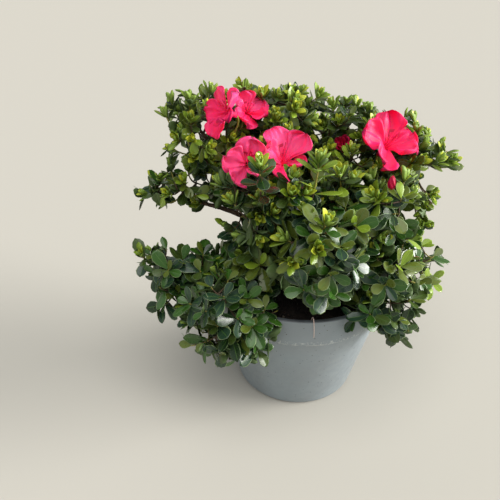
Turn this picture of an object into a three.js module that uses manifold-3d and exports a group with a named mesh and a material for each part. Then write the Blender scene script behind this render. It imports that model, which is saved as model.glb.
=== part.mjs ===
// A dwarf evergreen azalea in its plastic nursery pot, in millimetres, with +Z up.
// The origin is the middle of the pot's flat underside, and the shrub's front faces -Y.
// A short stem stands in the potting soil and forks into boughs. Each bough ends in a mass of foliage
// that keeps to its own space: twigs branch from one stem, and leaves wind round the end of each twig.
import * as THREE from "three";
import { mergeVertices } from "three/addons/utils/BufferGeometryUtils.js";
import Module from "manifold-3d";

const wasm = await Module();
wasm.setup();

// Clearance between neighbours, and the smallest detail that a joined solid keeps
const GAP = 0.3;
const SMALLEST_DETAIL = 0.1;
const MERGE_DISTANCE = 1e-4;

// Pot and soil
const POT_HEIGHT = 136;
const POT_FOOT_RADIUS = 67.5;
const POT_FOOT_EDGE = 3;
const POT_STEP_HEIGHT = 105;
const POT_STEP_RADIUS = 91;
const POT_STEP_WIDTH = 1.6;
const POT_RIM_RADIUS = 95;
const POT_RIM_EDGE = 1;
const POT_LIP_WIDTH = 5;
const POT_WALL = 2.2;
const POT_FLOOR = 4;
const POT_SEGMENTS = 36;
const SOIL_EDGE_HEIGHT = 120;
const SOIL_MIDDLE_HEIGHT = 126;
const SOIL_MIDDLE_RADIUS = 22;

// Stem and boughs
const TRUNK_TOP = 160;
const TRUNK_LEAN = [-4, -3];
const TRUNK_FOOT_RADIUS = 10.5;
const TRUNK_RADIUS = 7;
const TRUNK_FORK_RADIUS = 5.5;
const TRUNK_FLARE_SHARE = 0.3;
const LIMB_SIDES = 5;
const LIMB_STEPS = 4;
const LIMB_TEST_POINTS = 24;
const GATE_SHARE = 0.82;
const GATE_MARGIN = 4;

// The stem inside a mass, and its twigs
const GOLDEN_ANGLE = Math.PI * (3 - Math.sqrt(5));
const STEM_SIDES = 5;
const STEM_STEPS = 3;
const STEM_RADIUS = 2.6;
const STEM_TIP_RADIUS = 2;
const STEM_BEND = 0.5;
const STEM_PAST_MIDDLE = 0.3;
const FACE_FOR_A_TWIG = 980;
const TWIG_SIDES = 3;
const TWIG_FOOT_RADIUS = 2.1;
const TWIG_TIP_RADIUS = 1.8;
const TWIG_REACH = [0.48, 0.64];
const TWIG_FEET = [0.12, 0.9];
const TWIG_SINK = 0.5;
const TWIG_CLEAR_FROM = 0.2;

// Leaves, larger than life
const LEAVES_ON_A_TWIG = 8;
const LEAF_TRIES = 8;
const LEAF_RETRY_TURN = 0.7;
const LEAF_TURN = 0.8 * Math.PI;
const LEAF_STEP = 2.4;
const LEAF_LENGTH = 31;
const LEAF_WIDTH = 16;
const LEAF_THICKNESS = 1.6;
const LEAF_WIDEST_AT = 0.6;
const LEAF_SPREAD = [0.6, 1.15];
const LEAF_SIZE = [0.85, 1.15];
const LEAF_ROOT_DEPTH = 1.4;
const LEAF_ROOM = 0.3;
const LEAF_CLEAR_FROM = 0.12;
const LEAF_SEED = 1000;

// Spaces: how far leaf tips may pass the ellipsoid, and what they keep clear of
const SPACE_OVERRUN = 1.1;
const CLEAR_OF_LIMBS = 1.2;
const CLEAR_OF_POT = 3;
const TEST_STEPS = 6;

// Blossom: the length, notch, curl and free room are shares of a bloom's width
const BLOOM_LOBES = 5;
const BLOOM_LENGTH = 0.5;
const BLOOM_NOTCH = 0.34;
const BLOOM_CURL = 0.1;
const BLOOM_ROOM = 0.52;
const BLOOM_ROOM_BACK = 0.1;
const BLOOM_FOOT_RADIUS = 2.4;
const BLOOM_TUBE_RADIUS = 3.2;
const BLOOM_WALL = 1.6;
const STALK_FOOT_SHARE = 0.55;

// Each mass of foliage fills an ellipsoid: its middle, its reach along X, Y and Z,
// and its bough, which leaves the stem or another bough at a share of that limb's length.
// rise lifts the middle of the bough above the straight way, and radii are those of its foot and tip.
const MASSES = {
  crown_left: {
    middle: [-98, 10, 280], reach: [44, 50, 42],
    from: "stem", at: 0.96, rise: -8, radii: [4.4, 2.8],
  },
  crown_top: {
    middle: [-30, 22, 280], reach: [46, 55, 46],
    from: "stem", at: 1, rise: 0, radii: [4.6, 2.9],
  },
  crown_right: {
    middle: [47, 22, 268], reach: [50, 55, 44],
    from: "stem", at: 0.9, rise: -6, radii: [4.6, 2.9],
  },
  shoulder_right: {
    middle: [101, 2, 245], reach: [43, 50, 52],
    from: "bough_crown_right", at: 0.24, rise: -6, radii: [3.4, 2.5],
  },
  arm_left: {
    middle: [-120, -8, 231], reach: [46, 36, 27],
    from: "stem", at: 0.93, rise: 16, radii: [3.4, 2.2],
  },
  breast_left: {
    middle: [-40, -48, 232], reach: [48, 44, 40],
    from: "bough_crown_top", at: 0.14, rise: 2, radii: [3.2, 2.4],
  },
  breast_right: {
    middle: [52, -52, 228], reach: [52, 46, 42],
    from: "stem", at: 0.78, rise: 2, radii: [3.8, 2.5],
  },
  heart_left: {
    middle: [-50, -40, 172], reach: [38, 42, 36],
    from: "stem", at: 0.74, rise: 4, radii: [3, 2.3],
  },
  skirt_front: {
    middle: [8, -82, 204], reach: [47, 42, 48],
    from: "stem", at: 0.6, rise: 5, radii: [3.6, 2.4],
  },
  low_left: {
    middle: [-126, -42, 156], reach: [47, 46, 38],
    from: "stem", at: 0.5, rise: 8, radii: [4.2, 2.5],
  },
  low_left_front: {
    middle: [-74, -86, 138], reach: [46, 44, 46],
    from: "bough_low_left", at: 0.28, rise: 4, radii: [3.2, 2.4],
  },
  low_right: {
    middle: [102, -28, 168], reach: [42, 46, 38],
    from: "stem", at: 0.62, rise: 6, radii: [4, 2.5],
  },
  skirt_right: {
    middle: [64, -62, 180], reach: [40, 44, 36],
    from: "bough_low_right", at: 0.24, rise: 4, radii: [3.2, 2.4],
  },
  low_right_front: {
    middle: [77, -82, 136], reach: [39, 38, 40],
    from: "bough_low_right", at: 0.36, rise: 4, radii: [3, 2.3],
  },
  back_left: {
    middle: [-70, 78, 236], reach: [54, 50, 50],
    from: "stem", at: 0.8, rise: -4, radii: [4.2, 2.7],
  },
  back_middle: {
    middle: [8, 94, 232], reach: [46, 48, 52],
    from: "stem", at: 0.86, rise: -6, radii: [4.2, 2.7],
  },
  back_right: {
    middle: [82, 76, 226], reach: [54, 50, 50],
    from: "bough_back_middle", at: 0.16, rise: -4, radii: [3.4, 2.5],
  },
  low_back_left: {
    middle: [-36, 84, 160], reach: [42, 44, 38],
    from: "stem", at: 0.56, rise: 6, radii: [3.6, 2.4],
  },
  low_back_right: {
    middle: [62, 80, 158], reach: [46, 44, 38],
    from: "stem", at: 0.5, rise: 6, radii: [3.6, 2.4],
  },
};

// Open blooms: the middle of each mouth, the way it faces, its width, and the mass whose stem it stands on.
const BLOOMS = [
  { mass: "crown_left", mouth: [-77, -31, 306], facing: [-0.8, -0.6, 0], width: 44 },
  { mass: "crown_top", mouth: [-50, 4, 318], facing: [0.45, -0.3, 0.85], width: 40 },
  { mass: "breast_left", mouth: [-58, -60, 274], facing: [-0.5, -0.6, 0.6], width: 46 },
  { mass: "crown_top", mouth: [-20, -42, 281], facing: [-0.15, -0.8, 0.55], width: 56 },
  { mass: "crown_right", mouth: [69, -25, 286], facing: [0.45, -0.75, 0.5], width: 58 },
  { mass: "crown_right", mouth: [30, -12, 284], facing: [-0.4, -0.2, 0.9], width: 32 },
];

// A repeatable stream of numbers from 0 to 1.
function stream(seed) {
  let state = seed >>> 0;
  return () => {
    state = (state + 0x6d2b79f5) >>> 0;
    let t = Math.imul(state ^ (state >>> 15), state | 1);
    t ^= t + Math.imul(t ^ (t >>> 7), t | 61);
    return ((t ^ (t >>> 14)) >>> 0) / 2 ** 32;
  };
}

const between = ([low, high], share) => low + (high - low) * share;
const vector = (list) => new THREE.Vector3(...list);
const onward = (point, direction, distance) => point.clone().addScaledVector(direction, distance);

// Solids

function solidOf(geometry) {
  const bare = geometry.index ? geometry.toNonIndexed() : geometry.clone();
  bare.deleteAttribute("normal");
  bare.deleteAttribute("uv");
  const merged = mergeVertices(bare, MERGE_DISTANCE);
  const vertProperties = merged.attributes.position.array;
  const triVerts = new Uint32Array(merged.index.array);
  return new wasm.Manifold(new wasm.Mesh({ numProp: 3, vertProperties, triVerts }));
}

function geometryOf(solid) {
  const mesh = solid.getMesh();
  return new THREE.BufferGeometry()
    .setAttribute("position", new THREE.BufferAttribute(Float32Array.from(mesh.vertProperties), 3))
    .setIndex(new THREE.BufferAttribute(Uint32Array.from(mesh.triVerts), 1));
}

// The largest piece of a solid, with its slivers merged: loose scraps are dropped, and sealed hollows filled.
function mainPiece(solid) {
  const pieces = solid.asOriginal().simplify(SMALLEST_DETAIL).decompose();
  return pieces.reduce((best, piece) => (piece.volume() > best.volume() ? piece : best));
}

// A solid with its box, so that solids far apart are told apart quickly.
function boxed(solid) {
  const { min, max } = solid.boundingBox();
  return { solid, box: new THREE.Box3(vector(min), vector(max)) };
}

function touches(one, other) {
  return one.box.intersectsBox(other.box) && !one.solid.intersect(other.solid).isEmpty();
}

// Pot and soil, turned about Z from closed profiles

const potInnerFoot = POT_FOOT_RADIUS - POT_WALL;
const potInnerStep = POT_STEP_RADIUS - POT_WALL;
const potInnerRim = POT_RIM_RADIUS - POT_LIP_WIDTH;

function turned(profile, segments) {
  const points = profile.map(([radius, height]) => new THREE.Vector2(radius, height));
  return new THREE.LatheGeometry(points, segments).rotateX(Math.PI / 2);
}

function potGeometry() {
  const profile = [
    [0, 0],
    [POT_FOOT_RADIUS - POT_FOOT_EDGE, 0],
    [POT_FOOT_RADIUS, POT_FOOT_EDGE],
    [POT_STEP_RADIUS, POT_STEP_HEIGHT],
    [POT_STEP_RADIUS + POT_STEP_WIDTH, POT_STEP_HEIGHT + POT_RIM_EDGE],
    [POT_RIM_RADIUS, POT_HEIGHT - POT_RIM_EDGE],
    [POT_RIM_RADIUS - POT_RIM_EDGE, POT_HEIGHT],
    [potInnerRim, POT_HEIGHT],
    [potInnerStep, POT_STEP_HEIGHT],
    [potInnerFoot, POT_FLOOR],
    [0, POT_FLOOR],
  ];
  return turned(profile, POT_SEGMENTS);
}

function soilGeometry() {
  const share = (SOIL_EDGE_HEIGHT - POT_STEP_HEIGHT) / (POT_HEIGHT - POT_STEP_HEIGHT);
  const profile = [
    [0, POT_FLOOR + GAP],
    [potInnerFoot - GAP, POT_FLOOR + GAP],
    [potInnerStep - GAP, POT_STEP_HEIGHT],
    [between([potInnerStep, potInnerRim], share) - GAP, SOIL_EDGE_HEIGHT],
    [SOIL_MIDDLE_RADIUS, SOIL_MIDDLE_HEIGHT],
    [0, SOIL_MIDDLE_HEIGHT],
  ];
  return turned(profile, POT_SEGMENTS);
}

function clearOfPot(point) {
  const out = Math.hypot(point.x, point.y);
  return out > POT_RIM_RADIUS + CLEAR_OF_POT || point.z > POT_HEIGHT + CLEAR_OF_POT;
}

// Spaces of the masses

// How far a mass reaches from its middle along a direction.
function reachAlong(mass, direction) {
  const [a, b, c] = mass.reach;
  return 1 / Math.hypot(direction.x / a, direction.y / b, direction.z / c);
}

// The planes that part a mass from its neighbours. A point keeps to the near side of each.
function partingPlanes(name) {
  const own = MASSES[name];
  const others = Object.values(MASSES).filter((mass) => mass !== own);
  return others.map((mass) => {
    const away = vector(mass.middle).sub(vector(own.middle));
    const distance = away.length();
    away.normalize();
    const mine = reachAlong(own, away);
    const theirs = reachAlong(mass, away);
    return { away, limit: (distance * mine) / (mine + theirs) - GAP / 2 };
  });
}

function insideSpace(space, point) {
  const offset = point.clone().sub(space.middle);
  const [a, b, c] = space.reach;
  const within = Math.hypot(offset.x / a, offset.y / b, offset.z / c) <= SPACE_OVERRUN;
  return within && space.planes.every(({ away, limit }) => offset.dot(away) < limit);
}

// The gate is where the bough enters the space, on the side that faces the bough's foot.
function spaceOf(name, boughFoot) {
  const mass = MASSES[name];
  const middle = vector(mass.middle);
  const planes = partingPlanes(name);
  const inward = boughFoot.clone().sub(middle).normalize();
  const facing = planes.filter(({ away }) => inward.dot(away) > 0);
  const limits = facing.map(({ away, limit }) => limit / inward.dot(away) - GATE_MARGIN);
  const depth = Math.min(GATE_SHARE * reachAlong(mass, inward), ...limits);
  return { middle, reach: mass.reach, planes, gate: onward(middle, inward, depth) };
}

// Stem and boughs

// A tapering limb along a curve. radiusAt gives its radius at a share of its length.
function limbGeometry(curve, radiusAt, sides, steps) {
  const geometry = new THREE.CylinderGeometry(1, 1, 1, sides, steps);
  const frames = curve.computeFrenetFrames(steps, false);
  const place = geometry.attributes.position;
  for (let i = 0; i < place.count; i++) {
    const step = Math.round((place.getY(i) + 0.5) * steps);
    const radius = radiusAt(step / steps);
    const point = curve.getPoint(step / steps);
    point.addScaledVector(frames.binormals[step], place.getX(i) * radius);
    point.addScaledVector(frames.normals[step], place.getZ(i) * radius);
    place.setXYZ(i, point.x, point.y, point.z);
  }
  return geometry;
}

// The stem rises upright from a flat cut on the soil, flared at the foot, and leans towards the fork.
const stemFoot = new THREE.Vector3(0, 0, SOIL_MIDDLE_HEIGHT + GAP);
const stemTop = new THREE.Vector3(...TRUNK_LEAN, TRUNK_TOP);
const stemBend = new THREE.Vector3(0, 0, (stemFoot.z + stemTop.z) / 2);

function stemRadiusAt(share) {
  const flare = Math.max(0, 1 - share / TRUNK_FLARE_SHARE) ** 2;
  return between([TRUNK_RADIUS, TRUNK_FORK_RADIUS], share) + (TRUNK_FOOT_RADIUS - TRUNK_RADIUS) * flare;
}

// A bough is an arc from the middle of the limb that carries it to its mass's gate.
function boughOf(mass, foot, gate) {
  const middle = foot.clone().lerp(gate, 0.5);
  middle.z += mass.rise;
  return {
    curve: new THREE.QuadraticBezierCurve3(foot, middle, gate),
    radiusAt: (share) => between(mass.radii, share),
  };
}

const stemCurve = new THREE.QuadraticBezierCurve3(stemFoot, stemBend, stemTop);
const limbs = { stem: { curve: stemCurve, radiusAt: stemRadiusAt } };
const spaces = {};
for (const [name, mass] of Object.entries(MASSES)) {
  const foot = limbs[mass.from].curve.getPoint(mass.at);
  spaces[name] = spaceOf(name, foot);
  limbs["bough_" + name] = boughOf(mass, foot, spaces[name].gate);
}

// A limb's solid, thicker by a margin where it makes room for itself in its neighbours.
function limbSolid(name, margin = 0) {
  const { curve, radiusAt } = limbs[name];
  return solidOf(limbGeometry(curve, (share) => radiusAt(share) + margin, LIMB_SIDES, LIMB_STEPS));
}

// Every limb, each cut clear of the limbs listed before it.
function limbSolids() {
  const names = Object.keys(limbs);
  return names.map((name, i) => {
    let solid = limbSolid(name);
    for (const earlier of names.slice(0, i)) {
      const room = limbSolid(earlier, GAP);
      if (solid.intersect(room).volume() > 0) solid = solid.subtract(room);
    }
    return [name, mainPiece(solid)];
  });
}

const limbPoints = Object.values(limbs).flatMap(({ curve, radiusAt }) =>
  Array.from({ length: LIMB_TEST_POINTS + 1 }, (_, i) => {
    const share = i / LIMB_TEST_POINTS;
    return { point: curve.getPoint(share), radius: radiusAt(share) };
  }),
);

function clearOfLimbs(point, margin) {
  return limbPoints.every((limb) => limb.point.distanceTo(point) > limb.radius + margin);
}

// Blossom

// Leaves keep out of a ball round each bloom.
const bloomBalls = BLOOMS.map(({ mouth, facing, width }) => ({
  middle: onward(vector(mouth), vector(facing).normalize(), -BLOOM_ROOM_BACK * width),
  radius: BLOOM_ROOM * width,
}));

function clearOfBlooms(point) {
  return bloomBalls.every(({ middle, radius }) => middle.distanceTo(point) > radius);
}

// One bloom: a funnel of five joined lobes round +Z, with its foot at the origin and its mouth at the top.
function bloomGeometry(width) {
  const radius = width / 2;
  const height = BLOOM_LENGTH * width;
  const profile = [
    [0, -1],
    [BLOOM_FOOT_RADIUS, -1],
    [BLOOM_TUBE_RADIUS, 0.42 * height],
    [0.42 * radius, 0.76 * height],
    [radius, height],
    [0.4 * radius, 0.76 * height + BLOOM_WALL],
    [0, 0.45 * height + BLOOM_WALL],
  ];
  const geometry = turned(profile, 2 * BLOOM_LOBES);
  const place = geometry.attributes.position;
  for (let i = 0; i < place.count; i++) {
    const [x, y, z] = [place.getX(i), place.getY(i), place.getZ(i)];
    const outward = Math.hypot(x, y) / radius;
    const notch = Math.max(0, Math.sin(BLOOM_LOBES * Math.atan2(y, x)));
    const keep = 1 - BLOOM_NOTCH * notch * outward ** 2;
    place.setXYZ(i, x * keep, y * keep, z - BLOOM_CURL * width * outward ** 4);
  }
  return geometry;
}

// A bloom on its stalk, which grows from the stem of its mass.
function bloomSolids(bloom, stem) {
  const facing = vector(bloom.facing).normalize();
  const foot = onward(vector(bloom.mouth), facing, -BLOOM_LENGTH * bloom.width);
  const turn = new THREE.Quaternion().setFromUnitVectors(new THREE.Vector3(0, 0, 1), facing);
  const funnel = bloomGeometry(bloom.width).applyQuaternion(turn).translate(foot.x, foot.y, foot.z);
  return [twigSolid({ foot: stem.getPoint(STALK_FOOT_SHARE), tip: foot }), solidOf(funnel)];
}

// Twigs and leaves

// Whether a straight piece from a to b, of a given half-width, keeps to its space and touches nothing.
function fits(space, a, b, halfWidth, firstShare) {
  for (let i = 0; i <= TEST_STEPS; i++) {
    const point = a.clone().lerp(b, between([firstShare, 1], i / TEST_STEPS));
    const free = clearOfPot(point) && clearOfBlooms(point) && clearOfLimbs(point, halfWidth + CLEAR_OF_LIMBS);
    if (!free || !insideSpace(space, point)) return false;
  }
  return true;
}

// The stem inside a mass: straight on from its bough's tip, then past the middle of its space.
function massStem(space, bough) {
  const ahead = bough.curve.getTangent(1);
  const start = onward(space.gate, ahead, GAP);
  const bend = onward(start, ahead, STEM_BEND * start.distanceTo(space.middle));
  const out = space.middle.clone().sub(stemTop).normalize();
  const end = onward(space.middle, out, STEM_PAST_MIDDLE * reachAlong(space, out));
  return new THREE.CubicBezierCurve3(start, bend, space.middle, end);
}

// The twigs of a mass: tips spread evenly over its space by the golden angle, joined to the stem
// in the order in which they lie along it, so that each twig leaves the stem at a place of its own.
function massTwigs(space, stem, seed) {
  const random = stream(seed);
  const [a, b, c] = space.reach;
  const count = Math.round((a * b + b * c + c * a) / FACE_FOR_A_TWIG);
  const tips = Array.from({ length: count }, (_, k) => {
    const height = 1 - (2 * (k + 0.5)) / count;
    const ring = Math.sqrt(1 - height * height);
    const turn = k * GOLDEN_ANGLE + seed;
    const offset = new THREE.Vector3(ring * Math.cos(turn) * a, ring * Math.sin(turn) * b, height * c);
    return onward(space.middle, offset, between(TWIG_REACH, random()));
  });
  const start = stem.getPoint(0);
  const axis = stem.getPoint(1).sub(start);
  const along = (tip) => tip.clone().sub(start).dot(axis);
  tips.sort((one, other) => along(one) - along(other));
  return tips.map((tip, k) => ({ foot: stem.getPoint(between(TWIG_FEET, k / (count - 1))), tip }));
}

// A twig's own axes: the way it points, and two across it.
function twigAxes(twig) {
  const way = twig.tip.clone().sub(twig.foot).normalize();
  const side = new THREE.Vector3(0, 0, 1).cross(way).normalize();
  return { way, side, other: way.clone().cross(side) };
}

// A three-sided twig, its foot sunk in the stem. One of its faces looks along its side axis.
function twigSolid(twig) {
  const { way, side, other } = twigAxes(twig);
  const sink = TWIG_SINK * TWIG_FOOT_RADIUS;
  const length = twig.foot.distanceTo(twig.tip) + sink;
  const geometry = new THREE.CylinderGeometry(TWIG_TIP_RADIUS, TWIG_FOOT_RADIUS, length, TWIG_SIDES);
  geometry.translate(0, length / 2 - sink, 0).rotateY(Math.PI / TWIG_SIDES);
  const frame = new THREE.Matrix4().makeBasis(other, way, side).setPosition(twig.foot);
  return solidOf(geometry.applyMatrix4(frame));
}

// One leaf: a tetrahedron drawn out to a thin kite along +X with its root at the origin.
// Its two lower corners are the root and the tip, and its side edges are raised.
function leafGeometry(length, width) {
  const geometry = new THREE.TetrahedronGeometry(Math.sqrt(3));
  const place = geometry.attributes.position;
  for (let i = 0; i < place.count; i++) {
    const [x, y, z] = [place.getX(i), place.getY(i), place.getZ(i)];
    if (z > 0) place.setXYZ(i, LEAF_WIDEST_AT * length, (y * width) / 2, LEAF_THICKNESS);
    else place.setXYZ(i, x > 0 ? length : 0, 0, 0);
  }
  return geometry;
}

// A leaf that grows from a twig: step counts back from the twig's tip, turn goes round it,
// and spread is the leaf's angle to it. The upper face looks towards the twig's tip.
// The leaf comes out through the middle of one of the twig's faces, with its root sunk inside.
function leafOn(space, twig, step, turn, spread, size) {
  const { way, side, other } = twigAxes(twig);
  const round = (angle) => side.clone().multiplyScalar(Math.cos(angle)).addScaledVector(other, Math.sin(angle));
  const faceTurn = (2 * Math.PI) / TWIG_SIDES;
  const through = round(Math.round(turn / faceTurn) * faceTurn);
  const along = way.clone().multiplyScalar(Math.cos(spread)).addScaledVector(round(turn), Math.sin(spread));
  const face = onward(way, along, -way.dot(along)).normalize();
  const across = face.clone().cross(along);
  const root = onward(twig.tip, way, -(step + 1) * LEAF_STEP)
    .addScaledVector(through, TWIG_TIP_RADIUS * Math.cos(Math.PI / TWIG_SIDES))
    .addScaledVector(along, -LEAF_ROOT_DEPTH);
  const length = LEAF_LENGTH * size;
  const width = LEAF_WIDTH * size;
  const widest = onward(root, along, LEAF_WIDEST_AT * length);
  const corners = [-0.5, 0.5].map((share) => onward(widest, across, share * width));
  const cornersFit = corners.every((corner) => insideSpace(space, corner) && clearOfPot(corner));
  const tip = onward(root, along, length);
  if (!cornersFit || !fits(space, root, tip, LEAF_ROOM * width, LEAF_CLEAR_FROM)) return null;
  const frame = new THREE.Matrix4().makeBasis(along, across, face).setPosition(root);
  return boxed(solidOf(leafGeometry(length, width).applyMatrix4(frame)));
}

// The leaves of a twig wind round its end. One that would touch another piece is tried again a little
// further round, and skipped when no try fits.
function twigLeaves(space, twig, others, random) {
  const leaves = [];
  const firstTurn = random() * 2 * Math.PI;
  for (let k = 0; k < LEAVES_ON_A_TWIG; k++) {
    for (let attempt = 0; attempt < LEAF_TRIES; attempt++) {
      const turn = firstTurn + k * LEAF_TURN + attempt * LEAF_RETRY_TURN;
      const spread = between(LEAF_SPREAD, random());
      const leaf = leafOn(space, twig, k, turn, spread, between(LEAF_SIZE, random()));
      if (!leaf || [...others, ...leaves].some((other) => touches(leaf, other))) continue;
      leaves.push(leaf);
      break;
    }
  }
  return leaves;
}

// A mass of foliage: its stem, twigs, leaves and blooms, joined to one solid.
function massSolid(name, seed) {
  const space = spaces[name];
  const stem = massStem(space, limbs["bough_" + name]);
  const stemRadius = (share) => between([STEM_RADIUS, STEM_TIP_RADIUS], share);
  const stemSolid = solidOf(limbGeometry(stem, stemRadius, STEM_SIDES, STEM_STEPS));
  const blooms = BLOOMS.filter((bloom) => bloom.mass === name);
  const wood = [stemSolid, ...blooms.flatMap((bloom) => bloomSolids(bloom, stem))].map(boxed);
  const twigs = massTwigs(space, stem, seed)
    .filter((twig) => fits(space, twig.foot, twig.tip, TWIG_FOOT_RADIUS, TWIG_CLEAR_FROM))
    .map((twig) => ({ ...twig, ...boxed(twigSolid(twig)) }));
  const random = stream(LEAF_SEED + seed);
  const leaves = [];
  for (const twig of twigs) {
    const others = [...wood, ...twigs.filter((one) => one !== twig), ...leaves];
    leaves.push(...twigLeaves(space, twig, others, random));
  }
  return mainPiece(wasm.Manifold.union([...wood, ...twigs, ...leaves].map((piece) => piece.solid)));
}

// The plant

const potPlastic = new THREE.MeshStandardMaterial({ color: 0x8b9296, roughness: 0.5, metalness: 0 });
const pottingSoil = new THREE.MeshStandardMaterial({ color: 0x17120f, roughness: 0.95, metalness: 0 });
const bark = new THREE.MeshStandardMaterial({ color: 0x4a3426, roughness: 0.85, metalness: 0 });
const foliage = new THREE.MeshStandardMaterial({ color: 0x2f4a22, roughness: 0.4, metalness: 0 });

const azalea = new THREE.Group();
azalea.name = "potted_azalea";

function add(name, geometry, material) {
  const mesh = new THREE.Mesh(geometry, material);
  mesh.name = name;
  azalea.add(mesh);
}

add("pot", potGeometry(), potPlastic);
add("soil", soilGeometry(), pottingSoil);
for (const [name, solid] of limbSolids()) add(name, geometryOf(solid), bark);
Object.keys(MASSES).forEach((name, i) => {
  add("foliage_" + name, geometryOf(massSolid(name, i + 1)), foliage);
});

export default azalea;
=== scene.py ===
# %% [markdown]
# # A dwarf azalea in its nursery pot
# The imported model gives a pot, its soil, a stem with boughs, and one plain solid for each mass of
# foliage, all at their real size and place. This script keeps those places and makes the looks round
# them. The plant is grown again by the rule that grew the solids, then carried on to finer twigs with
# thousands of leaves. The work goes from the scene to the pot, the soil, the wood, the leaves and the
# blossom. All shapes are worked out in millimetres, and become metres when a piece is finished.

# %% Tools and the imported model
import math
import random
from collections import namedtuple

import bmesh
import bpy
import numpy as np
from mathutils import Matrix, Vector, noise


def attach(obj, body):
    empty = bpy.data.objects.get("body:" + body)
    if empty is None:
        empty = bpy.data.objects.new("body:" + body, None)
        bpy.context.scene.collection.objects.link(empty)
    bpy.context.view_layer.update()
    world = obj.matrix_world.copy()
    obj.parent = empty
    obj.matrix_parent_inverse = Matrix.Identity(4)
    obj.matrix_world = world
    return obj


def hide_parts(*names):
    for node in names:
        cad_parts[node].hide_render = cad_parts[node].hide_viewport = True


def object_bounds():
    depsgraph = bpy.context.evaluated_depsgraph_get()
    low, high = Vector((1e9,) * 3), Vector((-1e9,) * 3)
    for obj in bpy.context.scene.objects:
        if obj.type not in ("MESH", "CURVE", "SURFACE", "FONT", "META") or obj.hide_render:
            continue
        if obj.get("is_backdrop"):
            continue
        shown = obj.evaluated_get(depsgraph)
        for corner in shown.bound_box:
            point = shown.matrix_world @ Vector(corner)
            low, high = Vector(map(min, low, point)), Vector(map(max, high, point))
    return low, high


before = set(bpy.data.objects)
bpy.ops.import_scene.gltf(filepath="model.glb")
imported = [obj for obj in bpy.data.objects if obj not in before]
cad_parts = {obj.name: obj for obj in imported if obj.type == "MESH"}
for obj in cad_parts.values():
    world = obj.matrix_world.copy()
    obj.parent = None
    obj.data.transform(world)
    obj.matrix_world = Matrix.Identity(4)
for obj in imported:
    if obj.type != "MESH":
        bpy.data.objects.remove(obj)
cad_box = [list(corner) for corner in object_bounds()]
MM = 0.001
TURN = 2 * math.pi
UP = np.array((0.0, 0.0, 1.0))
print("packed box in mm:", [[round(value / MM) for value in corner] for corner in cad_box])


# %% [markdown]
# ## Camera, floor and light
# A photographer stands in front of the plant and looks down on it by about thirty degrees. The lens is
# a wide one held close, so the crown looms over the pot, and only the true distance gives that look.
# The studio is a pale floor without an edge, lit by wide soft lamps, one from the right and one from
# above. Glossy leaves show what surrounds them, so the sky of the scene is a soft white to mirror.

# %% Camera
EYE = (-54.1, -445.7, 414.6)
LOOKING_DOWN = 29.85
LENS = 34.56
NEAREST_SEEN = 10

camera = bpy.data.objects.new("camera", bpy.data.cameras.new("camera"))
camera.data.lens = LENS
camera.data.clip_start = NEAREST_SEEN * MM
camera.location = Vector(EYE) * MM
camera.rotation_euler = (math.radians(90 - LOOKING_DOWN), 0, 0)
bpy.context.scene.collection.objects.link(camera)
bpy.context.scene.camera = camera
bpy.context.scene.view_settings.view_transform = "Standard"
print("eye in mm:", EYE, "looking down by", LOOKING_DOWN, "degrees")


# %% Nodes in few words
def add(tree, kind, inputs=(), **settings):
    """A new node. An input takes either a plain value or the socket that feeds it."""
    made = tree.nodes.new("ShaderNode" + kind)
    for setting, value in settings.items():
        setattr(made, setting, value)
    for socket, value in dict(inputs).items():
        if isinstance(value, bpy.types.NodeSocket):
            tree.links.new(value, made.inputs[socket])
        else:
            made.inputs[socket].default_value = value
    return made


def colour_of(red, green, blue):
    """A colour as a picture editor writes it, from 0 to 255, turned to the linear values of a shader."""
    shares = [value / 255 for value in (red, green, blue)]
    return [s / 12.92 if s <= 0.04045 else ((s + 0.055) / 1.055) ** 2.4 for s in shares] + [1]


# %% Floor
FLOOR_COLOUR = (195, 191, 181)
FLOOR_RADIUS = 60000
FLOOR_SIDES = 96
FLOOR_DROP = 0.3

floor_material = bpy.data.materials.new("studio_floor")
floor_material.use_nodes = True
floor_shader = floor_material.node_tree.nodes["Principled BSDF"]
floor_shader.inputs["Base Color"].default_value = colour_of(*FLOOR_COLOUR)
floor_shader.inputs["Roughness"].default_value = 1
floor_shader.inputs["Specular IOR Level"].default_value = 0

bm = bmesh.new()
bmesh.ops.create_circle(bm, cap_ends=True, segments=FLOOR_SIDES, radius=FLOOR_RADIUS * MM)
bmesh.ops.translate(bm, verts=bm.verts, vec=(0, 0, -FLOOR_DROP * MM))
floor = bpy.data.objects.new("floor", bpy.data.meshes.new("floor"))
bm.to_mesh(floor.data)
bm.free()
floor.data.materials.append(floor_material)
bpy.context.scene.collection.objects.link(floor)
floor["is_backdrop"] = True

# %% Light
STUDIO_COLOUR = (0.94, 0.97, 1, 1)
STUDIO_STRENGTH = 0.48

world = bpy.data.worlds.new("studio")
bpy.context.scene.world = world
world.use_nodes = True
world.node_tree.nodes["Background"].inputs["Color"].default_value = STUDIO_COLOUR
world.node_tree.nodes["Background"].inputs["Strength"].default_value = STUDIO_STRENGTH


def wide_lamp(name, towards, softness, power, colour):
    """A soft lamp so far away that it lights the whole floor evenly. Towards points from plant to lamp."""
    lamp = bpy.data.lights.new(name, "SUN")
    lamp.angle = math.radians(softness)
    lamp.energy = power
    lamp.color = colour
    holder = bpy.data.objects.new(name, lamp)
    holder.rotation_euler = Vector(towards).to_track_quat("Z", "Y").to_euler()
    bpy.context.scene.collection.objects.link(holder)


wide_lamp("lamp_right", towards=(1, -0.04, 0.19), softness=36, power=6.2, colour=(1, 0.98, 0.95))
wide_lamp("lamp_above", towards=(0.02, -0.42, 1), softness=56, power=1.7, colour=(1, 0.99, 0.96))
print("floor and two lamps are set")


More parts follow.
